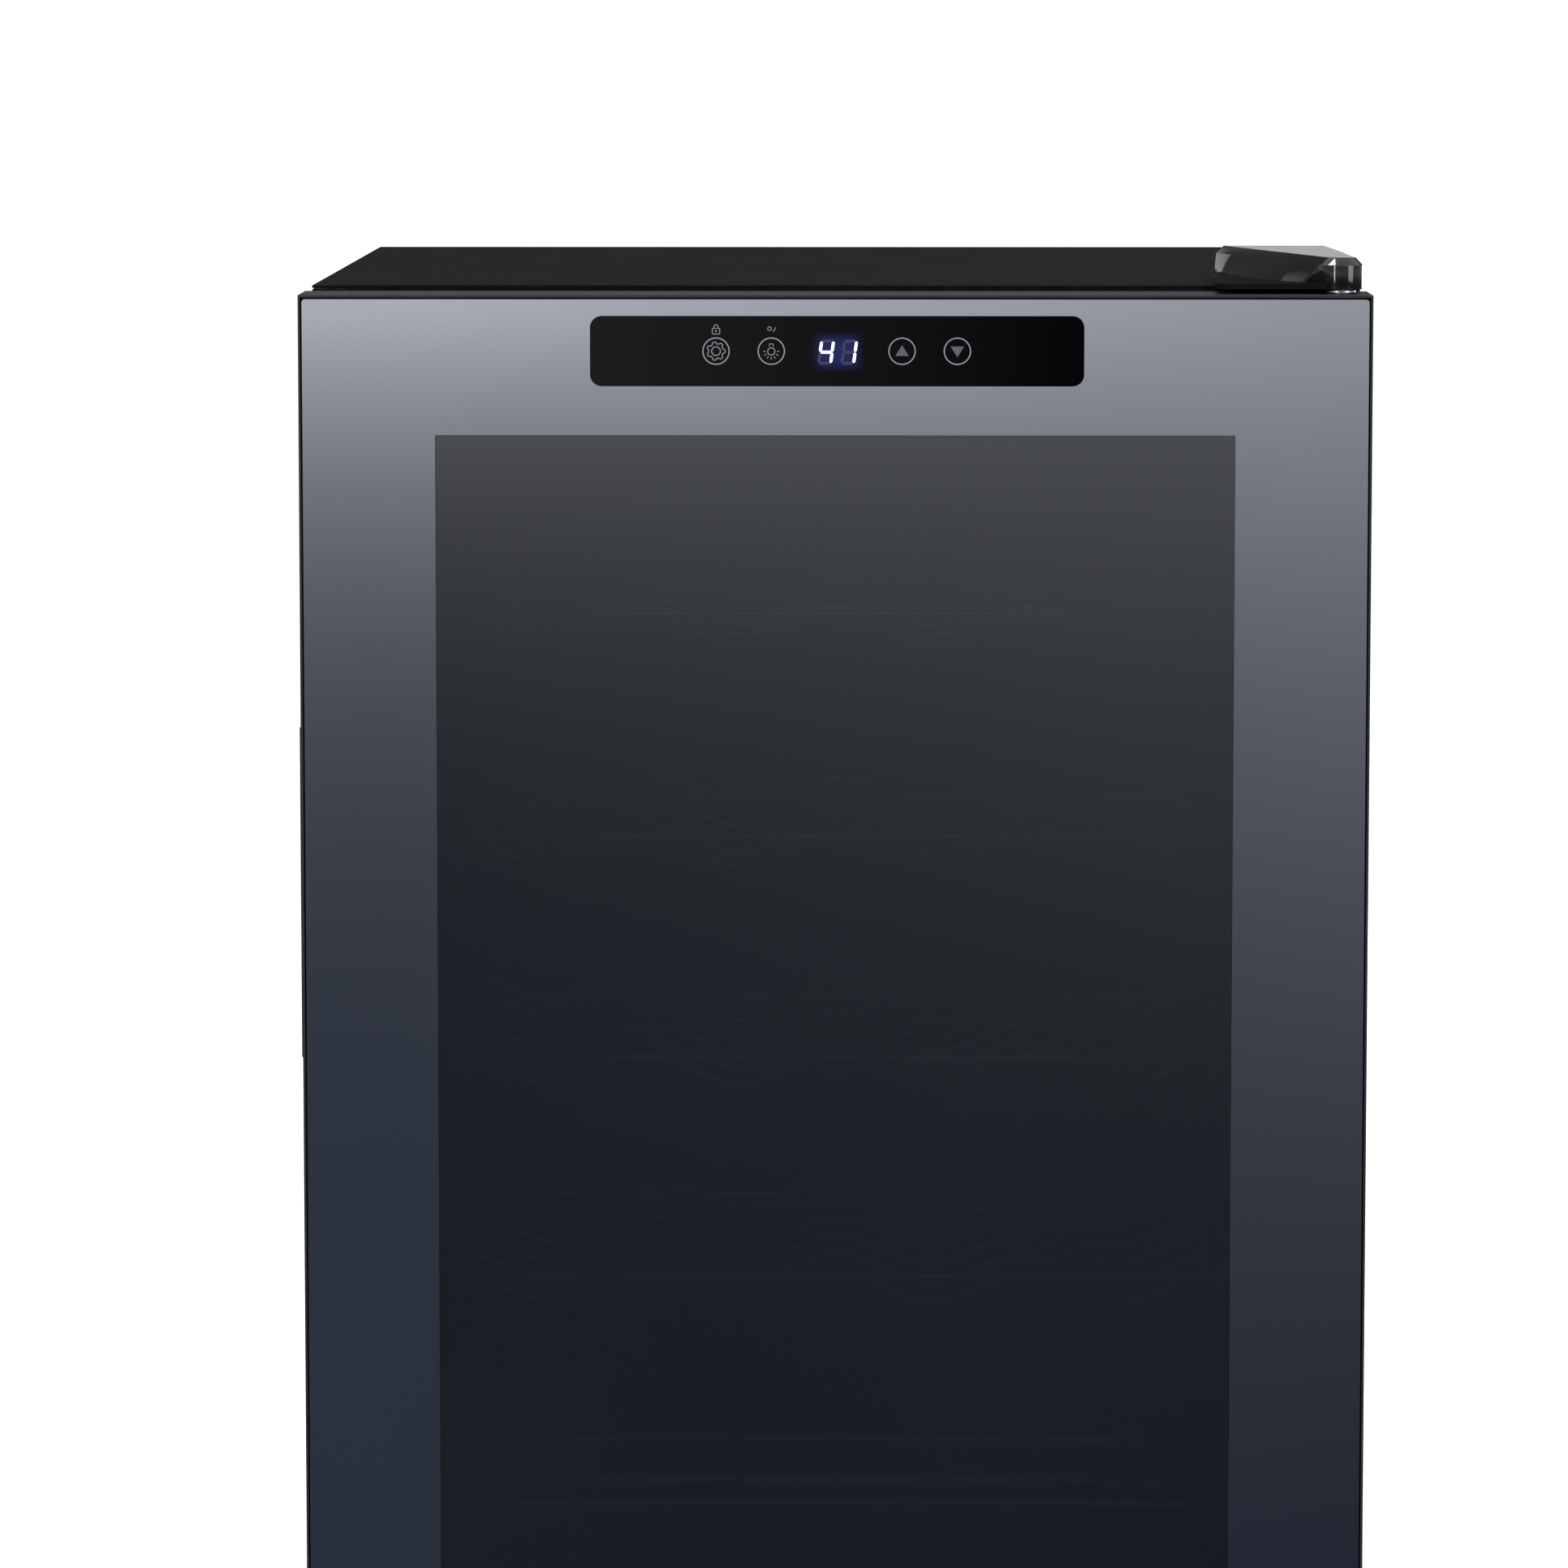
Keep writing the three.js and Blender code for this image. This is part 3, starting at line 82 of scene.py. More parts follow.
def length(name, description, default):
    return FloatProperty(
        name=name, description=description, default=default, min=0.0, unit="LENGTH", precision=5
    )


def colour(name, description, default):
    return FloatVectorProperty(
        name=name, description=description, default=default, size=3, min=0.0, max=1.0, subtype="COLOR"
    )


class CabinetSettings(bpy.types.PropertyGroup):
    """Sheet metal, liner and bay"""

    fold: length("Fold", "Radius of the folded sheet edges", 0.9 * MM)
    moulded_edge: length("Moulded edge", "Radius of moulded plastic edges", 0.6 * MM)
    paint: colour("Paint", "Powder paint of the cabinet", (0.0050, 0.0053, 0.0062))
    liner: colour("Liner", "Plastic of the cavity", (0.030, 0.032, 0.036))
    condenser_wire: length("Condenser wire", "Radius of the wires on the coil", 0.7 * MM)
    condenser_pitch: length("Wire pitch", "Spacing of the wires on the coil", 9 * MM)


class ShelfSettings(bpy.types.PropertyGroup):
    """Wires of the bottle shelves"""

    frame_rod: length("Frame rod", "Radius of the side and rear rod", 2.4 * MM)
    front_rod: length("Front rod", "Radius of the front rod", 2.0 * MM)
    wave_rod: length("Wave wire", "Radius of the wires that carry bottles", 1.5 * MM)
    rise: length("Rise", "Front rod above the side rods", 15 * MM)
    rear_corner: length("Rear corner", "Bend of the frame at its rear corners", 40 * MM)
    bottle_pitch: length("Bottle pitch", "Width of one bottle lane", 80 * MM)
    wave_height: length("Wave height", "Trough to crest of a wave wire", 12 * MM)
    wave_wires: IntProperty(name="Wave wires", description="Wave wires on a shelf", default=6, min=2)
    bar_pitch: length("Bar pitch", "Spacing of the flat shelf's bars", 42 * MM)
    cross_rod: length("Cross rod", "Second rod behind the flat shelf's front rod", 55 * MM)


class DoorSettings(bpy.types.PropertyGroup):
    """Glass, control field and print"""

    side_border: length("Side border", "Mirror beside the window", 53.5 * MM)
    top_border: length("Top border", "Mirror over and under the window", 54.7 * MM)
    glass_corner: length("Glass corner", "Corner radius of the front glass", 1.3 * MM)
    glass_bevel: length("Glass bevel", "Polished edge of the front glass", 0.8 * MM)
    field_corner: length("Field corner", "Corner radius of the control field", 4.6 * MM)
    field_inset: length("Field inset", "Control field behind the glass face", 0.15 * MM)
    print_height: length("Print", "Thickness of the printed marks", 0.06 * MM)
    line: length("Line", "Width of the printed lines", 0.42 * MM)
    mirror: colour("Mirror", "Tint of the mirrored border", (0.60, 0.62, 0.655))
    print_colour: colour("Print colour", "Printed rings and marks", (0.36, 0.38, 0.40))
    digit_colour: colour("Digit colour", "Lit segments", (0.80, 0.86, 1.0))


class StageSettings(bpy.types.PropertyGroup):
    """Camera and light"""

    camera_place: FloatVectorProperty(
        name="Camera place", description="Where the camera stands", default=(0.0128, -3.150, 0.7591),
        size=3, subtype="TRANSLATION",
    )
    camera_down: FloatProperty(
        name="Camera down", description="Camera's tilt below level", default=0.11122, subtype="ANGLE"
    )
    camera_left: FloatProperty(
        name="Camera left", description="Camera's turn to the left", default=0.01141, subtype="ANGLE"
    )
    lens: FloatProperty(name="Lens", description="Focal length in millimetres", default=167.05)
    floor: colour("Floor", "Plain pale floor", (0.93, 0.93, 0.93))


# ---------------------------------------------------------------------------
# Finishes
# ---------------------------------------------------------------------------


class Finish:
    """A material being made: its Principled shader, with textures in Object coordinates."""

    def __init__(self, name, base, roughness, metallic=0.0, **sockets):
        self.material = bpy.data.materials.new(name)
        self.material.use_nodes = True
        self.tree = self.material.node_tree
        self.shader = self.tree.nodes["Principled BSDF"]
        self.shader.inputs["Base Color"].default_value = (*base, 1.0)
        self.shader.inputs["Roughness"].default_value = roughness
        self.shader.inputs["Metallic"].default_value = metallic
        for socket, value in sockets.items():
            self.shader.inputs[socket.replace("_", " ")].default_value = value
        self.place = self.add("ShaderNodeTexCoord").outputs["Object"]

    def add(self, kind, links=None, **settings):
        node = self.tree.nodes.new(kind)
        for key, value in settings.items():
            setattr(node, key, value)
        for socket, value in (links or {}).items():
            if isinstance(value, bpy.types.NodeSocket):
                self.tree.links.new(value, node.inputs[socket])
            else:
                node.inputs[socket].default_value = value
        return node

    def noise(self, scale, stretch=(1, 1, 1), detail=2.0):
        spread = self.add("ShaderNodeMapping", {"Vector": self.place, "Scale": stretch})
        links = {"Vector": spread.outputs[0], "Scale": scale, "Detail": detail}
        node = self.add("ShaderNodeTexNoise", links)
        return node.outputs["Fac"]

    def cells(self, scale):
        node = self.add("ShaderNodeTexVoronoi", {"Vector": self.place, "Scale": scale})
        return node.outputs["Color"]

    def ramp(self, factor, stops, socket="Base Color"):
        node = self.add("ShaderNodeValToRGB", {"Fac": factor})
        elements = node.color_ramp.elements
        while len(elements) < len(stops):
            elements.new(0.5)
        for element, (position, shade) in zip(elements, stops):
            element.position = position
            element.color = (*shade, 1.0)
        self.tree.links.new(node.outputs["Color"], self.shader.inputs[socket])
        return node

    def span(self, factor, low, high, socket="Roughness"):
        node = self.add("ShaderNodeMapRange", {"Value": factor, "To Min": low, "To Max": high})
        self.tree.links.new(node.outputs["Result"], self.shader.inputs[socket])

    def bump(self, height, strength, distance):
        node = self.add("ShaderNodeBump", {"Height": height, "Strength": strength, "Distance": distance})
        self.tree.links.new(node.outputs["Normal"], self.shader.inputs["Normal"])

    def mottle(self, base, scale, share=0.12, stretch=(1, 1, 1)):
        """Lets the colour wander a little about its middle value."""
        dark = [c * (1 - share) for c in base]
        light = [c * (1 + share) for c in base]
        self.ramp(self.noise(scale, stretch), [(0.35, dark), (0.65, light)])


def powder_paint(base):
    look = Finish("powder_paint", base, 0.6, Specular_IOR_Level=0.02)
    look.mottle(base, 160, 0.22)
    look.bump(look.noise(1500), 0.35, 0.1 * MM)
    look.span(look.noise(40), 0.56, 0.66)
    return look.material


def moulded_plastic(name, base, roughness=0.48):
    look = Finish(name, base, roughness, Specular_IOR_Level=0.35)
    look.mottle(base, 220, 0.10)
    look.bump(look.noise(2600), 0.18, 0.05 * MM)
    look.span(look.noise(60), roughness - 0.05, roughness + 0.06)
    return look.material


def gloss_plastic(name, base):
    look = Finish(name, base, 0.10, Specular_IOR_Level=0.5, Coat_Weight=0.3, Coat_Roughness=0.05)
    look.span(look.noise(45), 0.08, 0.14)
    look.bump(look.noise(240), 0.03, 0.05 * MM)
    return look.material


def mirror_glass(base):
    look = Finish("mirror_border", base, 0.03, 1.0)
    deep = [c * 0.97 for c in base]
    look.ramp(look.noise(3, (1, 1, 0.6)), [(0.4, deep), (0.6, base)])
    return look.material


def window_glass():
    look = Finish("tinted_window", (0.003, 0.0045, 0.0065), 0.03, IOR=3.0, Alpha=0.70)
    look.ramp(look.noise(3), [(0.4, (0.002, 0.0035, 0.005)), (0.6, (0.003, 0.005, 0.007))])
    look.material.surface_render_method = "BLENDED"
    return look.material


def clear_glass():
    look = Finish("inner_pane", (0.02, 0.024, 0.024), 0.03, Alpha=0.15)
    look.ramp(look.noise(3), [(0.4, (0.018, 0.022, 0.022)), (0.6, (0.022, 0.026, 0.026))])
    look.material.surface_render_method = "BLENDED"
    return look.material


def galvanised():
    look = Finish("galvanised_sheet", (0.5, 0.51, 0.53), 0.38, 0.9)
    look.ramp(look.cells(140), [(0.2, (0.42, 0.43, 0.45)), (0.8, (0.58, 0.59, 0.61))])
    look.span(look.noise(70), 0.30, 0.46)
    return look.material


def brushed(name, base, roughness=0.28, stretch=(1, 1, 18)):
    look = Finish(name, base, roughness, 1.0)
    look.mottle(base, 90, 0.06, stretch)
    look.bump(look.noise(700, stretch), 0.08, 0.02 * MM)
    look.span(look.noise(300, stretch), roughness - 0.06, roughness + 0.08)
    return look.material


def chrome():
    look = Finish("chrome_wire", (0.80, 0.81, 0.83), 0.12, 1.0)
    look.mottle((0.78, 0.79, 0.81), 120, 0.03)
    look.span(look.noise(120), 0.09, 0.17)
    return look.material


def foam():
    look = Finish("polyurethane_foam", (0.62, 0.52, 0.30), 0.85, Specular_IOR_Level=0.2)
    look.mottle((0.62, 0.52, 0.30), 60, 0.15)
    look.bump(look.noise(700), 0.5, 0.4 * MM)
    return look.material


def rubber():
    look = Finish("gasket_rubber", (0.014, 0.014, 0.015), 0.62, Specular_IOR_Level=0.3)
    look.mottle((0.014, 0.014, 0.015), 180, 0.15)
    look.bump(look.noise(1800), 0.15, 0.05 * MM)
    return look.material


def circuit_board():
    look = Finish("circuit_board", (0.03, 0.13, 0.07), 0.4)
    tracks = look.add("ShaderNodeTexBrick", {"Vector": look.place, "Scale": 260.0, "Mortar Size": 0.03})
    look.ramp(tracks.outputs["Fac"], [(0.3, (0.03, 0.13, 0.07)), (0.7, (0.10, 0.22, 0.10))])
    return look.material


def frosted_lens():
    look = Finish("frosted_lens", (0.80, 0.83, 0.86), 0.4, Emission_Strength=0.8)
    look.shader.inputs["Emission Color"].default_value = (0.9, 0.95, 1.0, 1.0)
    look.mottle((0.80, 0.83, 0.86), 300, 0.03)
    look.bump(look.noise(900), 0.1, 0.05 * MM)
    return look.material


def lit(name, shade, strength):
    look = Finish(name, (0.02, 0.02, 0.02), 0.3, Emission_Strength=strength)
    dim = [c * 0.94 for c in shade]
    look.ramp(look.noise(500), [(0.4, dim), (0.6, shade)], "Emission Color")
    return look.material


def control_field(middle, half_width, half_height):
    """Black gloss print whose display glows softly about its middle; its colour has painted shade, lighter
    on the left and darker to the right.
    """
    look = Finish("control_field", (0.003, 0.003, 0.0035), 0.08, Specular_IOR_Level=0.03)
    look.shader.inputs["Emission Strength"].default_value = 1.0
    split = look.add("ShaderNodeSeparateXYZ", {"Vector": look.place})
    spans = []
    for axis, centre, half in (("X", middle[0], half_width), ("Z", middle[1], half_height)):
        off = look.add("ShaderNodeMath", {0: split.outputs[axis], 1: centre}, operation="SUBTRACT")
        far = look.add("ShaderNodeMath", {0: off.outputs[0]}, operation="ABSOLUTE")
        near = look.add("ShaderNodeMapRange", {
            "Value": far.outputs[0], "From Min": half * 0.45, "From Max": half + 1.6 * MM,
            "To Min": 1.0, "To Max": 0.0,
        }, interpolation_type="SMOOTHSTEP")
        spans.append(near.outputs["Result"])
    glow = look.add("ShaderNodeMath", {0: spans[0], 1: spans[1]}, operation="MULTIPLY")
    look.ramp(glow.outputs[0], [(0.0, (0, 0, 0)), (1.0, (0.013, 0.016, 0.10))], "Emission Color")
    # painted shade: the field's colour runs from lighter on the left to darker on the right
    painted_shade = look.add("ShaderNodeMapRange", {"Value": split.outputs["X"], "From Min": -0.1, "From Max": 0.1})
    look.ramp(painted_shade.outputs["Result"], [(0.0, (0.0065, 0.0065, 0.0072)), (1.0, (0.0004, 0.0004, 0.0008))])
    look.span(look.noise(30), 0.06, 0.12)
    return look.material


FINISHES = {}


def make_finishes(cabinet, door):
    FINISHES.update(
        paint=powder_paint(cabinet.paint),
        rear_paint=moulded_plastic("rear_paint", (0.022, 0.023, 0.025), 0.5),
        coil_paint=gloss_plastic("coil_paint", (0.012, 0.012, 0.013)),
        pot_paint=gloss_plastic("pot_paint", (0.006, 0.006, 0.007)),
        plastic=moulded_plastic("black_plastic", (0.0105, 0.011, 0.013)),
        grey_plastic=moulded_plastic("grey_plastic", (0.10, 0.105, 0.11)),
        liner=moulded_plastic("cavity_liner", cabinet.liner, 0.42),
        gloss=gloss_plastic("gloss_cover", (0.0045, 0.0045, 0.005)),
        mirror=mirror_glass(door.mirror),
        window=window_glass(),
        inner_glass=clear_glass(),
        galvanised=galvanised(),
        steel=brushed("zinc_steel", (0.56, 0.57, 0.58)),
        aluminium=brushed("aluminium", (0.66, 0.67, 0.68), 0.34),
        copper=brushed("copper", (0.62, 0.30, 0.18), 0.26),
        chrome=chrome(),
        foam=foam(),
        rubber=rubber(),
        board=circuit_board(),
        lens=frosted_lens(),
        print=lit("printed_mark", door.print_colour, 0.8),
        triangle=lit("key_triangle", (0.07, 0.085, 0.11), 1.0),
        digit=lit("lit_segment", door.digit_colour, 2.4),
        ghost=lit("dark_segment", (0.010, 0.012, 0.055), 1.0),
        field=control_field(*COOLER_OT_door.display_box()),
    )


# ---------------------------------------------------------------------------
# Meshes
# ---------------------------------------------------------------------------


def keep(piece, *nodes):
    """Puts a finished piece on the body of the CAD nodes that it stands for, and hides those nodes."""
    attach(piece, frame["nodes"][nodes[0]]["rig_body"])
    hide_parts(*nodes)
    return piece


def object_from(mesh, name, finish):
    mesh.name = name
    mesh.materials.clear()
    mesh.materials.append(FINISHES[finish])
    piece = bpy.data.objects.new(name, mesh)
    bpy.context.scene.collection.objects.link(piece)
    return piece


def settle(piece):
    """Turns the evaluated object into a plain mesh, without its modifiers."""
    graph = bpy.context.evaluated_depsgraph_get()
    graph.update()
    name = piece.name
    mesh = bpy.data.meshes.new_from_object(piece.evaluated_get(graph))
    materials = list(piece.data.materials)
    bpy.data.objects.remove(piece)
    mesh.materials.clear()
    for material in materials:
        mesh.materials.append(material)
    settled = bpy.data.objects.new(name, mesh)
    mesh.name = name
    bpy.context.scene.collection.objects.link(settled)
    return settled


def smooth_by_angle(mesh, degrees):
    mesh.polygons.foreach_set("use_smooth", [True] * len(mesh.polygons))
    mesh.set_sharp_from_angle(angle=math.radians(degrees))


def refined(node, finish, edge, steps=2, smooth=35.0, curved=False):
    """A copy of a CAD part with its flat faces merged and its edges rounded.

    A curved part keeps plain smooth shading, so that its walls show no flat patches.
    """
    mesh = frame["nodes"][node].data.copy()
    work = bmesh.new()
    work.from_mesh(mesh)
    bmesh.ops.remove_doubles(work, verts=work.verts, dist=0.01 * MM)
    bmesh.ops.dissolve_limit(
        work, angle_limit=math.radians(0.6), verts=work.verts, edges=work.edges,
        use_dissolve_boundaries=False,
    )
    work.to_mesh(mesh)
    work.free()
    for layer in list(mesh.attributes):
        if layer.name == "custom_normal":
            mesh.attributes.remove(layer)
    piece = object_from(mesh, f"{node}_shaped", finish)
    if edge:
        bevel = piece.modifiers.new("edge", "BEVEL")
        bevel.width = edge
        bevel.segments = steps
        bevel.limit_method = "ANGLE"
        bevel.angle_limit = math.radians(28)
        piece = settle(piece)
    smooth_by_angle(piece.data, smooth)
    if curved:
        return keep(piece, node)
    weighted = piece.modifiers.new("flat faces stay flat", "WEIGHTED_NORMAL")
    weighted.keep_sharp = True
    return keep(settle(piece), node)


def spun(profile, place, finish, name, axis="Z", sides=64, squash=1.0):
    """A closed lathe body: profile is (radius, height) from one pole to the other."""
    work = bmesh.new()
    rings = []
    for radius, height in profile:
        if radius < 1e-7:
            rings.append([work.verts.new((0, 0, height))])
        else:
            turns = [2 * math.pi * i / sides for i in range(sides)]
            rings.append([
                work.verts.new((radius * math.cos(t), radius * squash * math.sin(t), height)) for t in turns
            ])
    for low, high in zip(rings, rings[1:]):
        for i in range(sides):
            j = (i + 1) % sides
            if len(low) == 1:
                work.faces.new((low[0], high[j], high[i]))
            elif len(high) == 1:
                work.faces.new((low[i], low[j], high[0]))
            else:
                work.faces.new((low[i], low[j], high[j], high[i]))
    if len(rings[0]) > 1 and len(rings[-1]) > 1:
        for i in range(sides):
            j = (i + 1) % sides
            work.faces.new((rings[-1][i], rings[-1][j], rings[0][j], rings[0][i]))
    bmesh.ops.recalc_face_normals(work, faces=work.faces)
    turn = {
        "Z": Matrix.Identity(4),
        "-Z": Matrix.Rotation(math.pi, 4, "X"),
        "-Y": Matrix.Rotation(math.pi / 2, 4, "X"),
        "Y": Matrix.Rotation(-math.pi / 2, 4, "X"),
        "X": Matrix.Rotation(math.pi / 2, 4, "Y"),
    }[axis]
    work.transform(Matrix.Translation(place) @ turn)
    mesh = bpy.data.meshes.new(name)
    work.to_mesh(mesh)
    work.free()
    smooth_by_angle(mesh, 32)
    return object_from(mesh, name, finish)


def rounded_rect(half_width, half_height, corner, centre=(0.0, 0.0), steps=6):
    """Corner points of a rounded rectangle in the XZ plane, counter-clockwise seen from the front."""
    points = []
    for sx, sz, start in ((1, 1, 0), (-1, 1, 90), (-1, -1, 180), (1, -1, 270)):
        cx = centre[0] + sx * (half_width - corner)
        cz = centre[1] + sz * (half_height - corner)
        for i in range(steps + 1):
            turn = math.radians(start + 90 * i / steps)
            points.append((cx + corner * math.cos(turn), cz + corner * math.sin(turn)))
    return points


def circle(radius, centre=(0.0, 0.0), steps=48, start=0.0):
    return [
        (
            centre[0] + radius * math.cos(start + 2 * math.pi * i / steps),
            centre[1] + radius * math.sin(start + 2 * math.pi * i / steps),
        )
        for i in range(steps)
    ]


def add_plate(work, outlines, front, back, bevelled=None, bevel=0.0):
    """A closed flat plate facing -Y. The first outline is its edge and the others are holes.

    `bevelled` is the edge outline drawn in, for a front edge polished off by `bevel`.
    """
    flat = [Vector((x, z, 0)) for outline in outlines for x, z in outline]
    triangles = tessellate_polygon([[Vector((x, z, 0)) for x, z in outline] for outline in outlines])
    faces_front = [work.verts.new((p.x, front, p.y)) for p in flat]
    faces_back = [work.verts.new((p.x, back, p.y)) for p in flat]
    made = []
    shoulder = None
    if bevelled:
        shoulder = [work.verts.new((x, front + bevel, z)) for x, z in outlines[0]]
        for vert, (x, z) in zip(faces_front, bevelled):
            vert.co = (x, front, z)
    for a, b, c in triangles:
        made.append(work.faces.new((faces_front[a], faces_front[b], faces_front[c])))
        made.append(work.faces.new((faces_back[c], faces_back[b], faces_back[a])))
    start = 0
    for number, outline in enumerate(outlines):
        count = len(outline)
        for i in range(count):
            a, b = start + i, start + (i + 1) % count
            if number == 0 and shoulder:
                made.append(work.faces.new((faces_front[a], faces_front[b], shoulder[b], shoulder[a])))
                made.append(work.faces.new((shoulder[a], shoulder[b], faces_back[b], faces_back[a])))
            else:
                made.append(work.faces.new((faces_front[a], faces_front[b], faces_back[b], faces_back[a])))
        start += count
    bmesh.ops.recalc_face_normals(work, faces=made)


def plates(name, finish, drawings, front, back):
    """One mesh of separate flat plates, each a list of outlines."""
    work = bmesh.new()
    for outlines in drawings:
        add_plate(work, outlines, front, back)
    mesh = bpy.data.meshes.new(name)
    work.to_mesh(mesh)
    work.free()
    return object_from(mesh, name, finish)


def offset_loop(points, by):
    """A closed outline moved sideways by `by`, outward for a counter-clockwise one."""
    moved = []
    count = len(points)
    for i, (x, z) in enumerate(points):
        (ax, az), (bx, bz) = points[i - 1], points[(i + 1) % count]
        run = Vector((bx - ax, bz - az)).normalized()
        moved.append((x + run.y * by, z - run.x * by))
    return moved


def loop_line(points, width):
    """Outlines of a closed drawn line."""
    return [offset_loop(points, width / 2), offset_loop(points, -width / 2)]


def open_line(points, width):
    """Outline of an open drawn line."""
    sides = [[], []]
    for i, (x, z) in enumerate(points):
        (ax, az), (bx, bz) = points[max(i - 1, 0)], points[min(i + 1, len(points) - 1)]
        run = Vector((bx - ax, bz - az)).normalized()
        for side, sign in zip(sides, (1, -1)):
            side.append((x + sign * run.y * width / 2, z - sign * run.x * width / 2))
    return [sides[0] + sides[1][::-1]]


# ---------------------------------------------------------------------------
# Geometry node trees
# ---------------------------------------------------------------------------


class Tree:
    """A geometry node tree being built, with named inputs."""

    KINDS = {float: "NodeSocketFloat", int: "NodeSocketInt", tuple: "NodeSocketVector"}

    def __init__(self, name, **inputs):
        self.tree = bpy.data.node_groups.new(name, "GeometryNodeTree")
        face = self.tree.interface
        face.new_socket("Geometry", in_out="INPUT", socket_type="NodeSocketGeometry")
        self.sockets = {}
        for label, default in inputs.items():
            kind = "NodeSocketObject" if default is None else self.KINDS[type(default)]
            socket = face.new_socket(label, in_out="INPUT", socket_type=kind)
            if default is not None:
                socket.default_value = default
            self.sockets[label] = socket.identifier
        self.sockets["Material"] = face.new_socket(
            "Material", in_out="INPUT", socket_type="NodeSocketMaterial"
        ).identifier
        face.new_socket("Geometry", in_out="OUTPUT", socket_type="NodeSocketGeometry")
        self.inputs = self.tree.nodes.new("NodeGroupInput").outputs

    def add(self, kind, links=None, **settings):
        node = self.tree.nodes.new(kind)
        for key, value in settings.items():
            setattr(node, key, value)
        for socket, value in (links or {}).items():
            if isinstance(value, bpy.types.NodeSocket):
                self.tree.links.new(value, node.inputs[socket])
            else:
                node.inputs[socket].default_value = value
        return node.outputs

    def maths(self, operation, a, b=0.0):
        return self.add("ShaderNodeMath", {0: a, 1: b}, operation=operation)[0]

    def swept(self, curve, radius, sides):
        """Sweeps a closed round rod along the curve."""
        ring = self.add("GeometryNodeCurvePrimitiveCircle", {"Resolution": sides, "Radius": radius})[0]
        links = {"Curve": curve, "Profile Curve": ring, "Fill Caps": True}
        rod = self.add("GeometryNodeCurveToMesh", links)[0]
        return self.add("GeometryNodeSetShadeSmooth", {"Geometry": rod})[0]

    def rowed(self, geometry, count, step, start=(0.0, 0.0, 0.0)):
        """Repeats geometry along a straight row."""
        row = self.add("GeometryNodeMeshLine", {"Count": count, "Start Location": start, "Offset": step})[0]
        placed = self.add("GeometryNodeInstanceOnPoints", {"Points": row, "Instance": geometry})[0]
        return self.add("GeometryNodeRealizeInstances", {"Geometry": placed})[0]

    def close(self, geometry):
        whole = self.add("GeometryNodeRealizeInstances", {"Geometry": geometry})[0]
        links = {"Geometry": whole, "Material": self.inputs["Material"]}
        painted = self.add("GeometryNodeSetMaterial", links)
        out = self.tree.nodes.new("NodeGroupOutput")
        self.tree.links.new(painted[0], out.inputs[0])
        return self

    def grow(self, name, finish, start=None, **values):
        """Runs the tree on a start mesh and returns the result as a plain piece."""
        piece = object_from(start or bpy.data.meshes.new(name), name, finish)
        modifier = piece.modifiers.new("shape", "NODES")
        modifier.node_group = self.tree
        for label, value in values.items():
            modifier[self.sockets[label]] = value
        modifier[self.sockets["Material"]] = FINISHES[finish]
        return settle(piece)


def path_mesh(*paths):
    """A mesh of open polylines, the start of a bent rod."""
    verts, edges = [], []
    for path in paths:
        first = len(verts)
        verts += [tuple(point) for point in path]
        edges += [(first + i, first + i + 1) for i in range(len(path) - 1)]
    mesh = bpy.data.meshes.new("path")
    mesh.from_pydata(verts, edges, [])
    return mesh


def bent_rods_tree():
    """Round rods bent along the start paths, repeated in a row."""
    tree = Tree("bent_rods", Radius=0.002, Bend=0.01, Count=1, Step=(0.0, 0.0, 0.0), Sides=12)
    use = tree.inputs
    curve = tree.add("GeometryNodeMeshToCurve", {"Mesh": use["Geometry"]})[0]
    bent = tree.add("GeometryNodeFilletCurve", {
        "Curve": curve, "Radius": use["Bend"], "Limit Radius": True, "Count": 10,
    }, mode="POLY")[0]
    row = tree.rowed(bent, use["Count"], use["Step"])
    return tree.close(tree.swept(row, use["Radius"], use["Sides"]))


def wave_wires_tree():
    """Wavy wires side by side, their ends running down to the side rods."""
    tree = Tree(
        "wave_wires", Half_Width=0.16, Reach=0.16, Pitch=0.08, Height=0.012, Middle=0.0, End=-0.01,
        Radius=0.0015, Count=6, Step=(0.0, 0.05, 0.0), Start=(0.0, 0.0, 0.0),
    )
    use = tree.inputs
    left = tree.add("ShaderNodeCombineXYZ", {"X": tree.maths("MULTIPLY", use["Half_Width"], -1.0)})[0]
    right = tree.add("ShaderNodeCombineXYZ", {"X": use["Half_Width"]})[0]
    line = tree.add("GeometryNodeCurvePrimitiveLine", {"Start": left, "End": right})[0]
    line = tree.add("GeometryNodeResampleCurve", {"Curve": line, "Count": 145})[0]
    x = tree.add("ShaderNodeSeparateXYZ", {"Vector": tree.add("GeometryNodeInputPosition")[0]})[0]
    turns = tree.maths("DIVIDE", tree.maths("ADD", x, use["Reach"]), use["Pitch"])
    swing = tree.maths("COSINE", tree.maths("MULTIPLY", turns, 2 * math.pi))
    half_height = tree.maths("MULTIPLY", use["Height"], 0.5)
    wave = tree.maths("ADD", tree.maths("MULTIPLY", swing, half_height), use["Middle"])
    past = tree.add("ShaderNodeMapRange", {
        "Value": tree.maths("ABSOLUTE", x), "From Min": use["Reach"], "From Max": use["Half_Width"],
    }, interpolation_type="SMOOTHSTEP")[0]
    drop = tree.maths("MULTIPLY", past, tree.maths("SUBTRACT", use["End"], wave))
    z = tree.add("ShaderNodeCombineXYZ", {"Z": tree.maths("ADD", wave, drop)})[0]
    wire = tree.add("GeometryNodeSetPosition", {"Geometry": line, "Offset": z})[0]
    row = tree.rowed(wire, use["Count"], use["Step"], use["Start"])
    return tree.close(tree.swept(row, use["Radius"], 10))


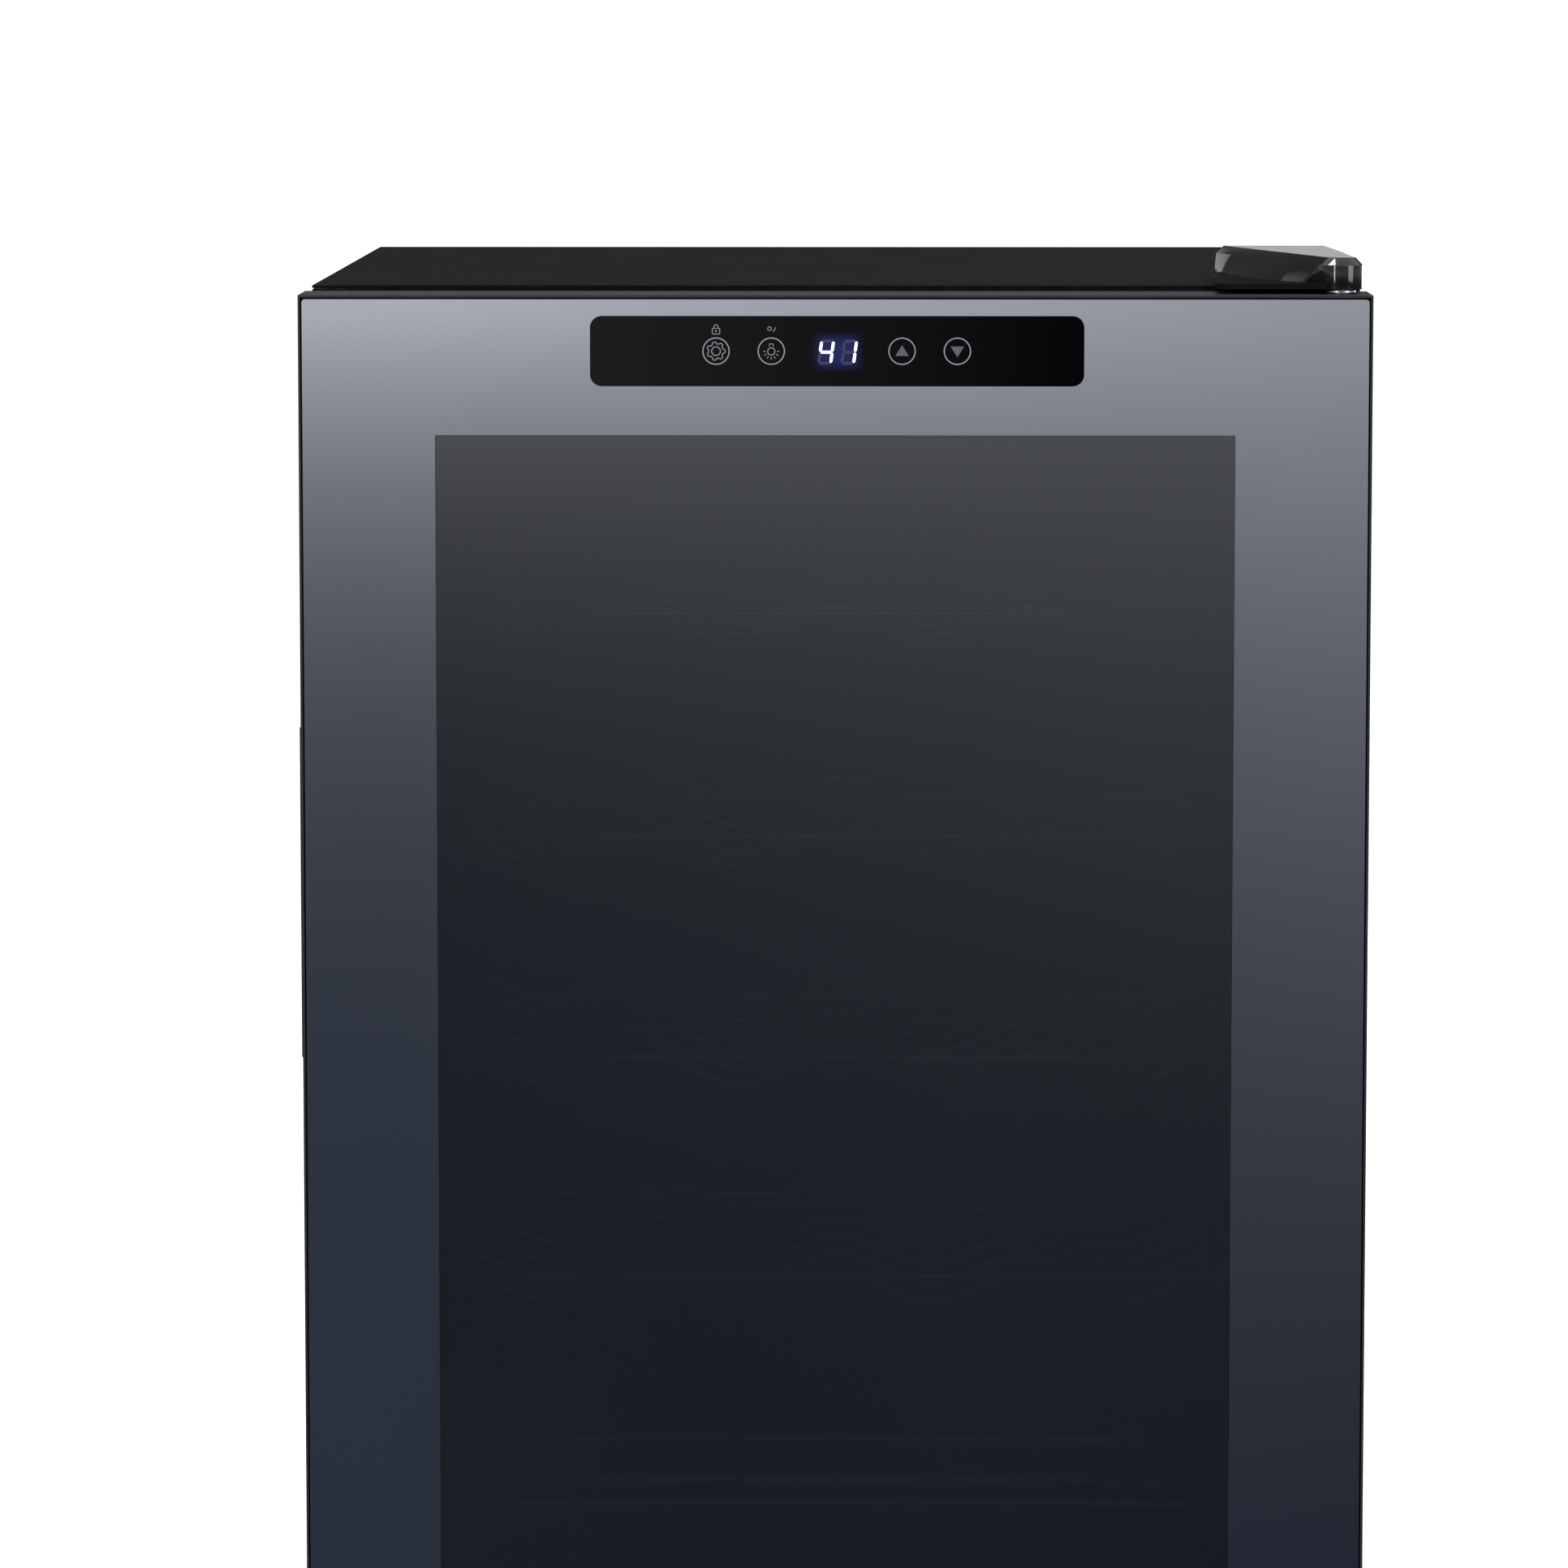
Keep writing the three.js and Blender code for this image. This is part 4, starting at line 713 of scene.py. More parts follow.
def placed_tree():
    """One piece set on every point of the start mesh."""
    tree = Tree("placed_pieces", Piece=None)
    info = tree.add("GeometryNodeObjectInfo", {"Object": tree.inputs["Piece"]}, transform_space="ORIGINAL")
    placed = tree.add("GeometryNodeInstanceOnPoints", {
        "Points": tree.inputs["Geometry"], "Instance": info["Geometry"],
    })[0]
    return tree.close(placed)


TREES = {}


def tree(maker):
    if maker.__name__ not in TREES:
        TREES[maker.__name__] = maker()
    return TREES[maker.__name__]


def joined(name, pieces):
    """Joins pieces of one finish into one mesh."""
    work = bmesh.new()
    for piece in pieces:
        work.from_mesh(piece.data)
    finish = pieces[0].data.materials[0]
    mesh = bpy.data.meshes.new(name)
    work.to_mesh(mesh)
    work.free()
    mesh.materials.append(finish)
    for piece in pieces:
        bpy.data.objects.remove(piece)
    whole = bpy.data.objects.new(name, mesh)
    bpy.context.scene.collection.objects.link(whole)
    return whole


def crossed_screw(name, finish, axis, head=4.0 * MM, height=2.0 * MM, shaft=1.7 * MM, depth=5 * MM):
    """A pan-head screw with a cross recess, at the origin, its head along the axis."""
    profile = [
        (0, -depth), (shaft * 0.6, -depth), (shaft, -depth + 0.8 * MM), (shaft, 0), (head, 0),
        (head, height * 0.35), (head * 0.93, height * 0.68), (head * 0.75, height * 0.90),
        (head * 0.45, height), (0, height),
    ]
    screw = spun(profile, (0, 0, 0), finish, name, axis, 32)
    cutter = bmesh.new()
    reach, slot, floor = head * 0.62, head * 0.13, height * 0.35
    for sx, sy in ((reach, slot), (slot, reach)):
        made = bmesh.ops.create_cube(cutter, size=1.0)["verts"]
        bmesh.ops.scale(cutter, verts=made, vec=(2 * sx, 2 * sy, height * 1.3))
        bmesh.ops.translate(cutter, verts=made, vec=(0, 0, floor + height * 0.65))
    turn = {"-Y": Matrix.Rotation(math.pi / 2, 4, "X"), "Z": Matrix.Identity(4),
            "Y": Matrix.Rotation(-math.pi / 2, 4, "X"), "-Z": Matrix.Rotation(math.pi, 4, "X")}[axis]
    cutter.transform(turn)
    mesh = bpy.data.meshes.new("recess")
    cutter.to_mesh(mesh)
    cutter.free()
    recess = bpy.data.objects.new("recess", mesh)
    bpy.context.scene.collection.objects.link(recess)
    cut = screw.modifiers.new("recess", "BOOLEAN")
    cut.object = recess
    cut.solver = "EXACT"
    cut.use_self = True
    screw = settle(screw)
    bpy.data.objects.remove(recess)
    smooth_by_angle(screw.data, 32)
    return screw


def screws_on(nodes, axis, finish="steel"):
    """Screws at the CAD screws' places, in one mesh."""
    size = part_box(nodes[0])
    along = 1 if axis in ("Y", "-Y") else 2
    head = (size[1][0] - size[0][0]) / 2
    height = 2 * MM
    depth = (size[1][along] - size[0][along]) - height
    pattern = crossed_screw("screw_pattern", finish, axis, head * 0.985, height, depth=depth)
    sign = -1 if axis.startswith("-") else 1
    points = []
    for node in nodes:
        low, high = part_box(node)
        point = (low + high) / 2
        point[along] = high[along] - height if sign > 0 else low[along] + height
        points.append(tuple(point))
    start = bpy.data.meshes.new("screw_points")
    start.from_pydata(points, [], [])
    name = nodes[0].rsplit("_", 1)[0] + "s"
    piece = tree(placed_tree).grow(name, finish, start, Piece=pattern)
    bpy.data.objects.remove(pattern)
    smooth_by_angle(piece.data, 32)
    return keep(piece, *nodes)


# ---------------------------------------------------------------------------
# Pieces
# ---------------------------------------------------------------------------


class COOLER_OT_finishes(bpy.types.Operator):
    """Makes the materials of all pieces"""

    bl_idname = "cooler.finishes"
    bl_label = "Finishes"

    def execute(self, context):
        make_finishes(context.scene.cooler_cabinet, context.scene.cooler_door)
        return {"FINISHED"}


class COOLER_OT_cabinet(bpy.types.Operator):
    """Builds the sheet panels, the liner and the foam"""

    bl_idname = "cooler.cabinet"
    bl_label = "Cabinet"

    def execute(self, context):
        sizes = context.scene.cooler_cabinet
        for node in ("top_panel", "left_side_panel", "right_side_panel"):
            refined(node, "paint", sizes.fold * 0.5, 2)
        refined("front_rail", "paint", 0.2 * MM, 1)
        refined("back_panel", "rear_paint", 0.2 * MM, 1)
        for node in ("base_plate", "bay_plate"):
            refined(node, "galvanised", 0.2 * MM, 1)
        refined("inner_liner", "liner", sizes.moulded_edge, 2)
        refined("insulation_foam", "foam", 0)
        return {"FINISHED"}


class COOLER_OT_air(bpy.types.Operator):
    """Builds the air duct, the fan, the light and the sensor"""

    bl_idname = "cooler.air"
    bl_label = "Air duct, fan and light"

    def execute(self, context):
        edge = context.scene.cooler_cabinet.moulded_edge
        refined("back_air_panel", "liner", edge * 0.6, 2)
        refined("evaporator_plate", "aluminium", 0.6 * MM, 2)
        refined("fan_frame", "plastic", 0.4 * MM, 1)
        refined("fan_motor", "grey_plastic", 0.5 * MM, 2)
        refined("fan_rotor", "plastic", 0.25 * MM, 1)
        refined("led_strip", "lens", 0.2 * MM, 1)
        refined("led_lens", "lens", 0.4 * MM, 2)
        low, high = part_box("temperature_sensor")
        radius, half = (high.x - low.x) / 2, (high.z - low.z) / 2
        bulb = [
            (0, -half), (radius * 0.5, -half * 0.97), (radius * 0.85, -half * 0.82), (radius, -half * 0.6),
            (radius, half * 0.6), (radius * 0.85, half * 0.82), (radius * 0.5, half * 0.97), (0, half),
        ]
        keep(spun(bulb, (low + high) / 2, "grey_plastic", "sensor_bulb"), "temperature_sensor")
        screws_on(["air_panel_screw_1", "air_panel_screw_2"], "-Y")
        screws_on(["step_screw_1", "step_screw_2"], "-Y")
        return {"FINISHED"}


class COOLER_OT_shelves(bpy.types.Operator):
    """Builds the wire shelves"""

    bl_idname = "cooler.shelves"
    bl_label = "Shelves"

    def execute(self, context):
        sizes = context.scene.cooler_shelves
        count = sum(1 for name in frame["nodes"] if name.startswith("shelf_"))
        for number in range(1, count + 1):
            node = f"shelf_{number}"
            low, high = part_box(node)
            half = high.x - sizes.frame_rod
            front, rear = low.y + sizes.front_rod, high.y - sizes.frame_rod
            top = high.z - sizes.front_rod
            flat = number == count
            pieces = self.frame(sizes, node, half, front, rear, top)
            wires = self.bars if flat else self.waves
            pieces += wires(sizes, half, front, rear, top)
            keep(joined(f"{node}_wires", pieces), node)
        return {"FINISHED"}

    def frame(self, sizes, node, half, front, rear, top):
        low = top - sizes.rise
        around = path_mesh([
            (-half, front, top), (-half, front + sizes.rise, low), (-half, rear, low),
            (half, rear, low), (half, front + sizes.rise, low), (half, front, top),
        ])
        rods = tree(bent_rods_tree)
        side = rods.grow("frame_rod", "chrome", around, Radius=sizes.frame_rod, Bend=sizes.rear_corner)
        reach = half + sizes.frame_rod / 2
        across = path_mesh([(-reach, front, top), (reach, front, top)])
        return [side, rods.grow("front_rod", "chrome", across, Radius=sizes.front_rod, Bend=0.0)]

    def waves(self, sizes, half, front, rear, top):
        lanes = math.floor(2 * half / sizes.bottle_pitch)
        first = front + sizes.rise + 5 * MM
        last = rear - sizes.rear_corner - 5 * MM
        step = (last - first) / (sizes.wave_wires - 1)
        low = top - sizes.rise
        middle = low + sizes.frame_rod + sizes.wave_height / 2 - sizes.wave_rod
        return [tree(wave_wires_tree).grow(
            "wave_wires", "chrome", Half_Width=half, Reach=lanes * sizes.bottle_pitch / 2,
            Pitch=sizes.bottle_pitch, Height=sizes.wave_height, Middle=middle, End=low,
            Radius=sizes.wave_rod, Count=sizes.wave_wires, Step=(0.0, step, 0.0), Start=(0.0, first, 0.0),
        )]

    def bars(self, sizes, half, front, rear, top):
        count = 2 * math.floor((half - sizes.bar_pitch / 3) / sizes.bar_pitch) + 1
        x = -(count - 1) / 2 * sizes.bar_pitch
        low = top - sizes.rise
        bar = path_mesh([(x, front, top), (x, rear - sizes.rise, top), (x, rear, low)])
        rods = tree(bent_rods_tree)
        bars = rods.grow(
            "bars", "chrome", bar, Radius=sizes.wave_rod, Bend=sizes.rise / 2, Count=count,
            Step=(sizes.bar_pitch, 0.0, 0.0),
        )
        reach, back = half + sizes.frame_rod / 2, front + sizes.cross_rod
        cross = path_mesh([(-reach, back, top - sizes.front_rod), (reach, back, top - sizes.front_rod)])
        return [bars, rods.grow("cross_rod", "chrome", cross, Radius=sizes.front_rod, Bend=0.0)]


class COOLER_OT_bay(bpy.types.Operator):
    """Builds the compressor bay, the condenser and the rear cover"""

    bl_idname = "cooler.bay"
    bl_label = "Compressor bay and rear"

    COIL_PITCH = 36 * MM
    COIL_ROD = 2.5 * MM
    TUBE_ROD = 4 * MM

    def execute(self, context):
        sizes = context.scene.cooler_cabinet
        refined("compressor", "pot_paint", 0.6 * MM, 2, smooth=30)
        refined("terminal_cover", "plastic", 2.0 * MM, 3)
        refined("evaporation_tray", "grey_plastic", 0.8 * MM, 2)
        refined("control_box", "plastic", 2.0 * MM, 3)
        self.drier()
        self.suction()
        self.condenser(sizes)
        refined("rear_cover", "rear_paint", 0.3 * MM, 1)
        refined("cord_gland", "plastic", 0.4 * MM, 2)
        return {"FINISHED"}

    def drier(self):
        low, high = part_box("filter_drier")
        half, radius = (high.x - low.x) / 2, (high.z - low.z) / 2
        end = radius / 3
        profile = [
            (0, -half), (end, -half), (end, -half * 0.80), (end * 1.6, -half * 0.76),
            (radius * 0.94, -half * 0.69),
            (radius, -half * 0.64), (radius, half * 0.64), (radius * 0.94, half * 0.69),
            (end * 1.6, half * 0.76),
            (end, half * 0.80), (end, half), (0, half),
        ]
        keep(spun(profile, (low + high) / 2, "copper", "drier_body", "X"), "filter_drier")

    def suction(self):
        low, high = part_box("suction_tube")
        rod = self.TUBE_ROD
        x, turn = (low.x + high.x) / 2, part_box("bay_plate")[1].z - 15 * MM
        front, rear = low.y + rod, high.y - rod
        path = path_mesh([(x, front, low.z), (x, front, turn), (x, rear, turn), (x, rear, high.z)])
        tube = tree(bent_rods_tree).grow("suction_pipe", "copper", path, Radius=rod, Bend=9 * MM, Sides=24)
        keep(tube, "suction_tube")

    def condenser(self, sizes):
        low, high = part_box("condenser_coil")
        rod, pitch = self.COIL_ROD, self.COIL_PITCH
        x, y, top = high.x - rod, (low.y + high.y) / 2, high.z - rod
        bay_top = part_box("bay_plate")[1].z - 1 * MM
        rows = math.floor((top - bay_top - 40 * MM) / pitch)
        out = x - pitch / 2
        path = [(-out, y, top)]
        for row in range(rows - 1):
            side = 1 if row % 2 == 0 else -1
            z = top - row * pitch
            path += [(side * x, y, z), (side * x, y, z - pitch)]
        end = -1 if rows % 2 == 0 else 1
        last = top - (rows - 1) * pitch
        path += [(end * out, y, last), (end * out, y, low.z)]
        rods = tree(bent_rods_tree)
        coil = rods.grow("coil", "coil_paint", path_mesh(path), Radius=rod, Bend=pitch / 2, Sides=16)
        pieces = [coil]
        wire = sizes.condenser_wire
        span = 2 * (out - 12 * MM)
        count = math.floor(span / sizes.condenser_pitch)
        first = -count * sizes.condenser_pitch / 2
        for side in (-1, 1):
            off = y + side * (rod + wire * 0.6)
            line = path_mesh([(first, off, top + 7 * MM), (first, off, last - 7 * MM)])
            pieces.append(rods.grow(
                "wires", "coil_paint", line, Radius=wire, Bend=0.0, Count=count + 1,
                Step=(sizes.condenser_pitch, 0.0, 0.0), Sides=8,
            ))
        keep(joined("condenser", pieces), "condenser_coil")


class COOLER_OT_hinges(bpy.types.Operator):
    """Builds the two hinges"""

    bl_idname = "cooler.hinges"
    bl_label = "Hinges"

    def execute(self, context):
        refined("top_hinge_plate", "paint", 0.3 * MM, 2)
        refined("top_hinge_cover", "gloss", 0.5 * MM, 3, smooth=34, curved=True)
        refined("bottom_hinge_bracket", "steel", 0.3 * MM, 2)
        self.pin("top_hinge_pin", "Z")
        self.pin("bottom_hinge_pin", "-Z")
        self.washer()
        screws_on(["top_hinge_screw_1", "top_hinge_screw_2"], "Z")
        screws_on(["bottom_hinge_screw_1", "bottom_hinge_screw_2"], "-Z")
        return {"FINISHED"}

    def pin(self, node, axis):
        low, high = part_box(node)
        head, thick = (high.x - low.x) / 2, 2 * MM
        length = high.z - low.z - thick
        pin = head - 2 * MM
        middle = (low + high) / 2
        middle.z = high.z - thick if axis == "Z" else low.z + thick
        profile = [
            (0, -length), (pin - 0.6 * MM, -length), (pin, -length + 0.8 * MM), (pin, 0), (head, 0),
            (head, thick * 0.5), (head * 0.9, thick * 0.85), (head * 0.7, thick), (0, thick),
        ]
        keep(spun(profile, middle, "steel", f"{node}_turned", axis), node)

    def washer(self):
        low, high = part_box("hinge_washer")
        outer, thick = (high.x - low.x) / 2, high.z - low.z
        inner, edge = 3.1 * MM, 0.25 * MM
        middle = (low + high) / 2
        middle.z = low.z
        profile = [
            (inner, 0), (outer - edge, 0), (outer, edge),
            (outer, thick - edge), (outer - edge, thick), (inner, thick),
        ]
        keep(spun(profile, middle, "steel", "washer"), "hinge_washer")


class COOLER_OT_feet(bpy.types.Operator):
    """Builds the levelling feet and the fixed feet"""

    bl_idname = "cooler.feet"
    bl_label = "Feet"

    def execute(self, context):
        for side in ("left", "right"):
            self.levelling(f"front_foot_{side}")
            self.fixed(f"rear_foot_{side}")
        return {"FINISHED"}

    def levelling(self, node):
        low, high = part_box(node)
        radius, height, stud = (high.x - low.x) / 2, high.z - low.z, 4 * MM
        pad = 7 * MM
        profile = [
            (0, 0), (radius - 1.2 * MM, 0), (radius - 0.3 * MM, 0.4 * MM), (radius, 1.2 * MM),
            (radius, pad - 2.6 * MM), (radius - 0.6 * MM, pad - 1.8 * MM),
            (stud + 4 * MM, pad), (stud, pad),
        ]
        z, turn = pad + 0.6 * MM, 1.25 * MM
        while z + turn < height - 1.2 * MM:
            profile += [(stud, z), (stud - 0.55 * MM, z + turn * 0.5)]
            z += turn
        profile += [(stud, z), (stud - 1 * MM, height), (0, height)]
        place = Vector(((low.x + high.x) / 2, (low.y + high.y) / 2, low.z))
        keep(spun(profile, place, "plastic", f"{node}_turned"), node)

    def fixed(self, node):
        low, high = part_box(node)
        top, height = (high.x - low.x) / 2, high.z - low.z
        foot = top - 3 * MM
        profile = [
            (0, 0), (foot - 1.4 * MM, 0), (foot - 0.3 * MM, 0.4 * MM), (foot, 1.4 * MM),
            (top - 0.4 * MM, height - 2.4 * MM), (top, height - 1.6 * MM), (top, height), (0, height),
        ]
        place = Vector(((low.x + high.x) / 2, (low.y + high.y) / 2, low.z))
        keep(spun(profile, place, "plastic", f"{node}_turned"), node)


class COOLER_OT_door(bpy.types.Operator):
    """Builds the door's frame, panes, seal, grip and bushings"""

    bl_idname = "cooler.door"
    bl_label = "Door"

    def execute(self, context):
        edge = context.scene.cooler_cabinet.moulded_edge
        self.glass(context.scene.cooler_door)
        refined("door_frame", "plastic", edge * 0.5, 2)
        refined("door_inner_frame", "plastic", edge, 2)
        refined("spacer_bar", "aluminium", 0.4 * MM, 2)
        refined("inner_glass", "inner_glass", 0.3 * MM, 1)
        self.gasket()
        refined("display_housing", "plastic", 0.3 * MM, 1)
        refined("display_board", "board", 0)
        refined("handle", "plastic", 0.35 * MM, 2)
        for node in ("top_bushing", "bottom_bushing"):
            refined(node, "grey_plastic", 0.3 * MM, 2)
        return {"FINISHED"}

    def glass(self, sizes):
        """The front glass: a mirrored border with the window and the control field let in."""
        low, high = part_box("outer_glass")
        half, half_height = (high.x - low.x) / 2, (high.z - low.z) / 2
        middle = ((low.x + high.x) / 2, (low.z + high.z) / 2)
        window_half = half - sizes.side_border
        window_height = half_height - sizes.top_border
        gap = 0.15 * MM
        field = self.field_box()
        edge = rounded_rect(half, half_height, sizes.glass_corner, middle)
        inset = sizes.glass_bevel * 0.45
        polished = rounded_rect(half - inset, half_height - inset, sizes.glass_corner, middle)
        window = rounded_rect(window_half, window_height, 0.5 * MM, middle, 2)
        slot = rounded_rect(field[1] + gap / 2, field[2] + gap / 2, sizes.field_corner + gap / 2, field[0])
        work = bmesh.new()
        add_plate(work, [edge, window[::-1], slot[::-1]], low.y, high.y, polished, sizes.glass_bevel)
        mesh = bpy.data.meshes.new("mirror_border")
        work.to_mesh(mesh)
        work.free()
        keep(object_from(mesh, "mirror_border", "mirror"), "outer_glass")
        pane = rounded_rect(window_half - gap, window_height - gap, 0.5 * MM, middle, 2)
        keep(plates("window_pane", "window", [[pane]], low.y + 0.05 * MM, high.y), "outer_glass")
        plate = rounded_rect(field[1], field[2], sizes.field_corner, field[0])
        front = low.y + sizes.field_inset
        keep(plates("control_plate", "field", [[plate]], front, high.y), "outer_glass")

    @staticmethod
    def field_box():
        """Middle (x, z), half width and half height of the control field."""
        low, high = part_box("display_housing")
        wall = 1.5 * MM
        middle = ((low.x + high.x) / 2 + 0.8 * MM, (low.z + high.z) / 2)
        return middle, (high.x - low.x) / 2 - wall, (high.z - low.z) / 2 - wall

    @staticmethod
    def display_box():
        """Middle (x, z), half width and half height of the glow behind the digits."""
        (x, z), _, _ = COOLER_OT_door.field_box()
        return (x + 0.2 * MM, z - 0.2 * MM), 9.6 * MM, 7.0 * MM

    def gasket(self):
        """A soft, rounded seal behind the door."""
        refined("gasket", "rubber", 0.9 * MM, 2)


class COOLER_OT_controls(bpy.types.Operator):
    """Draws the keys, the marks and the lit digits on the control field"""

    bl_idname = "cooler.controls"
    bl_label = "Controls"

    def execute(self, context):
        sizes = context.scene.cooler_door
        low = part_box("outer_glass")[0]
        (self.x, self.z), _, _ = COOLER_OT_door.field_box()
        self.line = sizes.line
        self.x -= 0.8 * MM
        self.back = low.y + sizes.field_inset - 0.01 * MM
        self.front = self.back - sizes.print_height
        self.rings()
        self.triangles()
        self.digits()
        return {"FINISHED"}

    def at(self, x, z):
        return (self.x + x * MM, self.z + z * MM)

    def placed(self, points, x, z):
        return [(self.x + (x + px) * MM, self.z + (z + pz) * MM) for px, pz in points]

    def rings(self):
        keys = (-47.6, -25.5, 26.8, 48.9)
        drawings = [loop_line(circle(5.25 * MM, self.at(x, 0)), self.line) for x in keys]
        drawings += self.gear(-47.6, 0) + self.bulb(-25.5, 0) + self.padlock(-47.6, 8.5)
        drawings += [loop_line(circle(0.75 * MM, self.at(-26.2, 9.0), 20), self.line * 0.6)]
        drawings += [open_line(self.placed([(-0.2, -0.9), (0.9, 0.9)], -24.6, 8.6), self.line * 0.6)]
        ordered = [[outlines[0]] + [hole[::-1] for hole in outlines[1:]] for outlines in drawings]
        keep(plates("printed_marks", "print", ordered, self.front, self.back), "outer_glass")

    def gear(self, x, z):
        lobed = []
        for i in range(96):
            turn = 2 * math.pi * i / 96
            wave = math.cos(7 * turn)
            radius = 3.3 + 0.42 * math.copysign(abs(wave) ** 0.7, wave)
            lobed.append((radius * math.cos(turn), radius * math.sin(turn)))
        thin = self.line * 0.75
        return [
            loop_line(self.placed(lobed, x, z), thin),
            loop_line(circle(1.75 * MM, self.at(x, z), 32), thin),
        ]

    def bulb(self, x, z):
        thin = self.line * 0.7
        drawn = [
            loop_line(circle(1.45 * MM, self.at(x, z - 0.1), 32), thin),
            open_line(self.placed([(-0.75, 1.9), (-0.75, 2.9), (0.75, 2.9), (0.75, 1.9)], x, z), thin),
        ]
        for i in range(7):
            turn = math.radians(180 + 30 * i)
            ray = [(r * math.cos(turn), r * math.sin(turn) - 0.1) for r in (2.3, 3.2)]
            drawn.append(open_line(self.placed(ray, x, z), thin))
        return drawn

    def padlock(self, x, z):
        thin = self.line * 0.6
        body = rounded_rect(1.5 * MM, 1.15 * MM, 0.3 * MM, self.at(x, z - 0.5), 3)
        shackle = [(-0.85, 0.75)]
        turns = [math.pi * i / 10 for i in range(11)]
        shackle += [(-0.85 * math.cos(turn), 1.2 + 0.85 * math.sin(turn)) for turn in turns]
        shackle.append((0.85, 0.75))
        return [
            loop_line(body, thin),
            open_line(self.placed(shackle, x, z), thin),
            [circle(0.35 * MM, self.at(x, z - 0.5), 12)],
        ]

    def triangles(self):
        shapes = []
        for x, way in ((26.8, 1), (48.9, -1)):
            corners = [(-2.7, -1.9 * way), (2.7, -1.9 * way), (0, 2.4 * way)]
            shapes.append([self.placed(corners if way > 0 else corners[::-1], x, 0)])
        keep(plates("key_triangles", "triangle", shapes, self.front, self.back), "outer_glass")

    def digits(self):
        lit, dark = [], []
        for x, on in ((-3.55, "fgbc"), (5.65, "bc")):
            for name, outline in self.segments(x).items():
                (lit if name in on else dark).append([outline])
        keep(plates("lit_digits", "digit", lit, self.front, self.back), "outer_glass")
        keep(plates("dark_digits", "ghost", dark, self.front, self.back), "outer_glass")

    def segments(self, x):
        """Outlines of the seven bars of a digit centred on x, leaning to the right."""
        half, tall, bar, gap, lean = 2.95, 5.0, 1.15, 0.08, 0.13
        h, b = half, bar
        flat = lambda z: [(-h + b / 2 + gap, z), (-h + b + gap, z - b / 2), (h - b - gap, z - b / 2),
                          (h - b / 2 - gap, z), (h - b - gap, z + b / 2), (-h + b + gap, z + b / 2)]
        upright = lambda s, low, high: [
            (s, low + gap), (s + b / 2, low + b / 2 + gap), (s + b / 2, high - b / 2 - gap),
            (s, high - gap), (s - b / 2, high - b / 2 - gap), (s - b / 2, low + b / 2 + gap),
        ]
        top, side = tall - b / 2, h - b / 2
        bars = {
            "a": flat(top), "g": flat(0), "d": flat(-top),
            "b": upright(side, 0, top), "c": upright(side, -top, 0),
            "f": upright(-side, 0, top), "e": upright(-side, -top, 0),
        }
        return {
            name: self.placed([(px + lean * pz, pz) for px, pz in points], x, -0.4)
            for name, points in bars.items()
        }


# ---------------------------------------------------------------------------
# Stage
# ---------------------------------------------------------------------------

# What gloss mirrors. Below the horizon a glow fades into a dark room, then the floor takes over;
# heights and fading lengths are sines of the angle from level.
GLOW_EDGE = 0.046
LEFT_GLOW = {"glow": (0.65, 0.65, 0.68), "dark": (0.04, 0.05, 0.07), "fading": 0.024}
RIGHT_GLOW = {"glow": (0.45, 0.46, 0.48), "dark": (0.01, 0.016, 0.032), "fading": 0.052}
GLOW_TURN = 0.065  # the left glow turns into the right one over this width each way
FLOOR_FROM = (0.216, 0.30)
FLOOR_SEEN = ((0.30, (0.030, 0.032, 0.042)), (0.50, (0.11, 0.112, 0.12)), (0.85, (0.34, 0.34, 0.35)))
FRONT_SEEN = ((0.0, (0.45, 0.45, 0.46)), (0.2, (0.30, 0.30, 0.31)), (0.5, (0.9, 0.9, 0.92)))
REAR_SEEN = (
    (0.0, (0.56, 0.56, 0.58)), (0.11, (0.50, 0.50, 0.52)), (0.17, (0.05, 0.05, 0.055)),
    (0.5, (0.05, 0.05, 0.055)), (0.75, (0.8, 0.8, 0.82)),
)


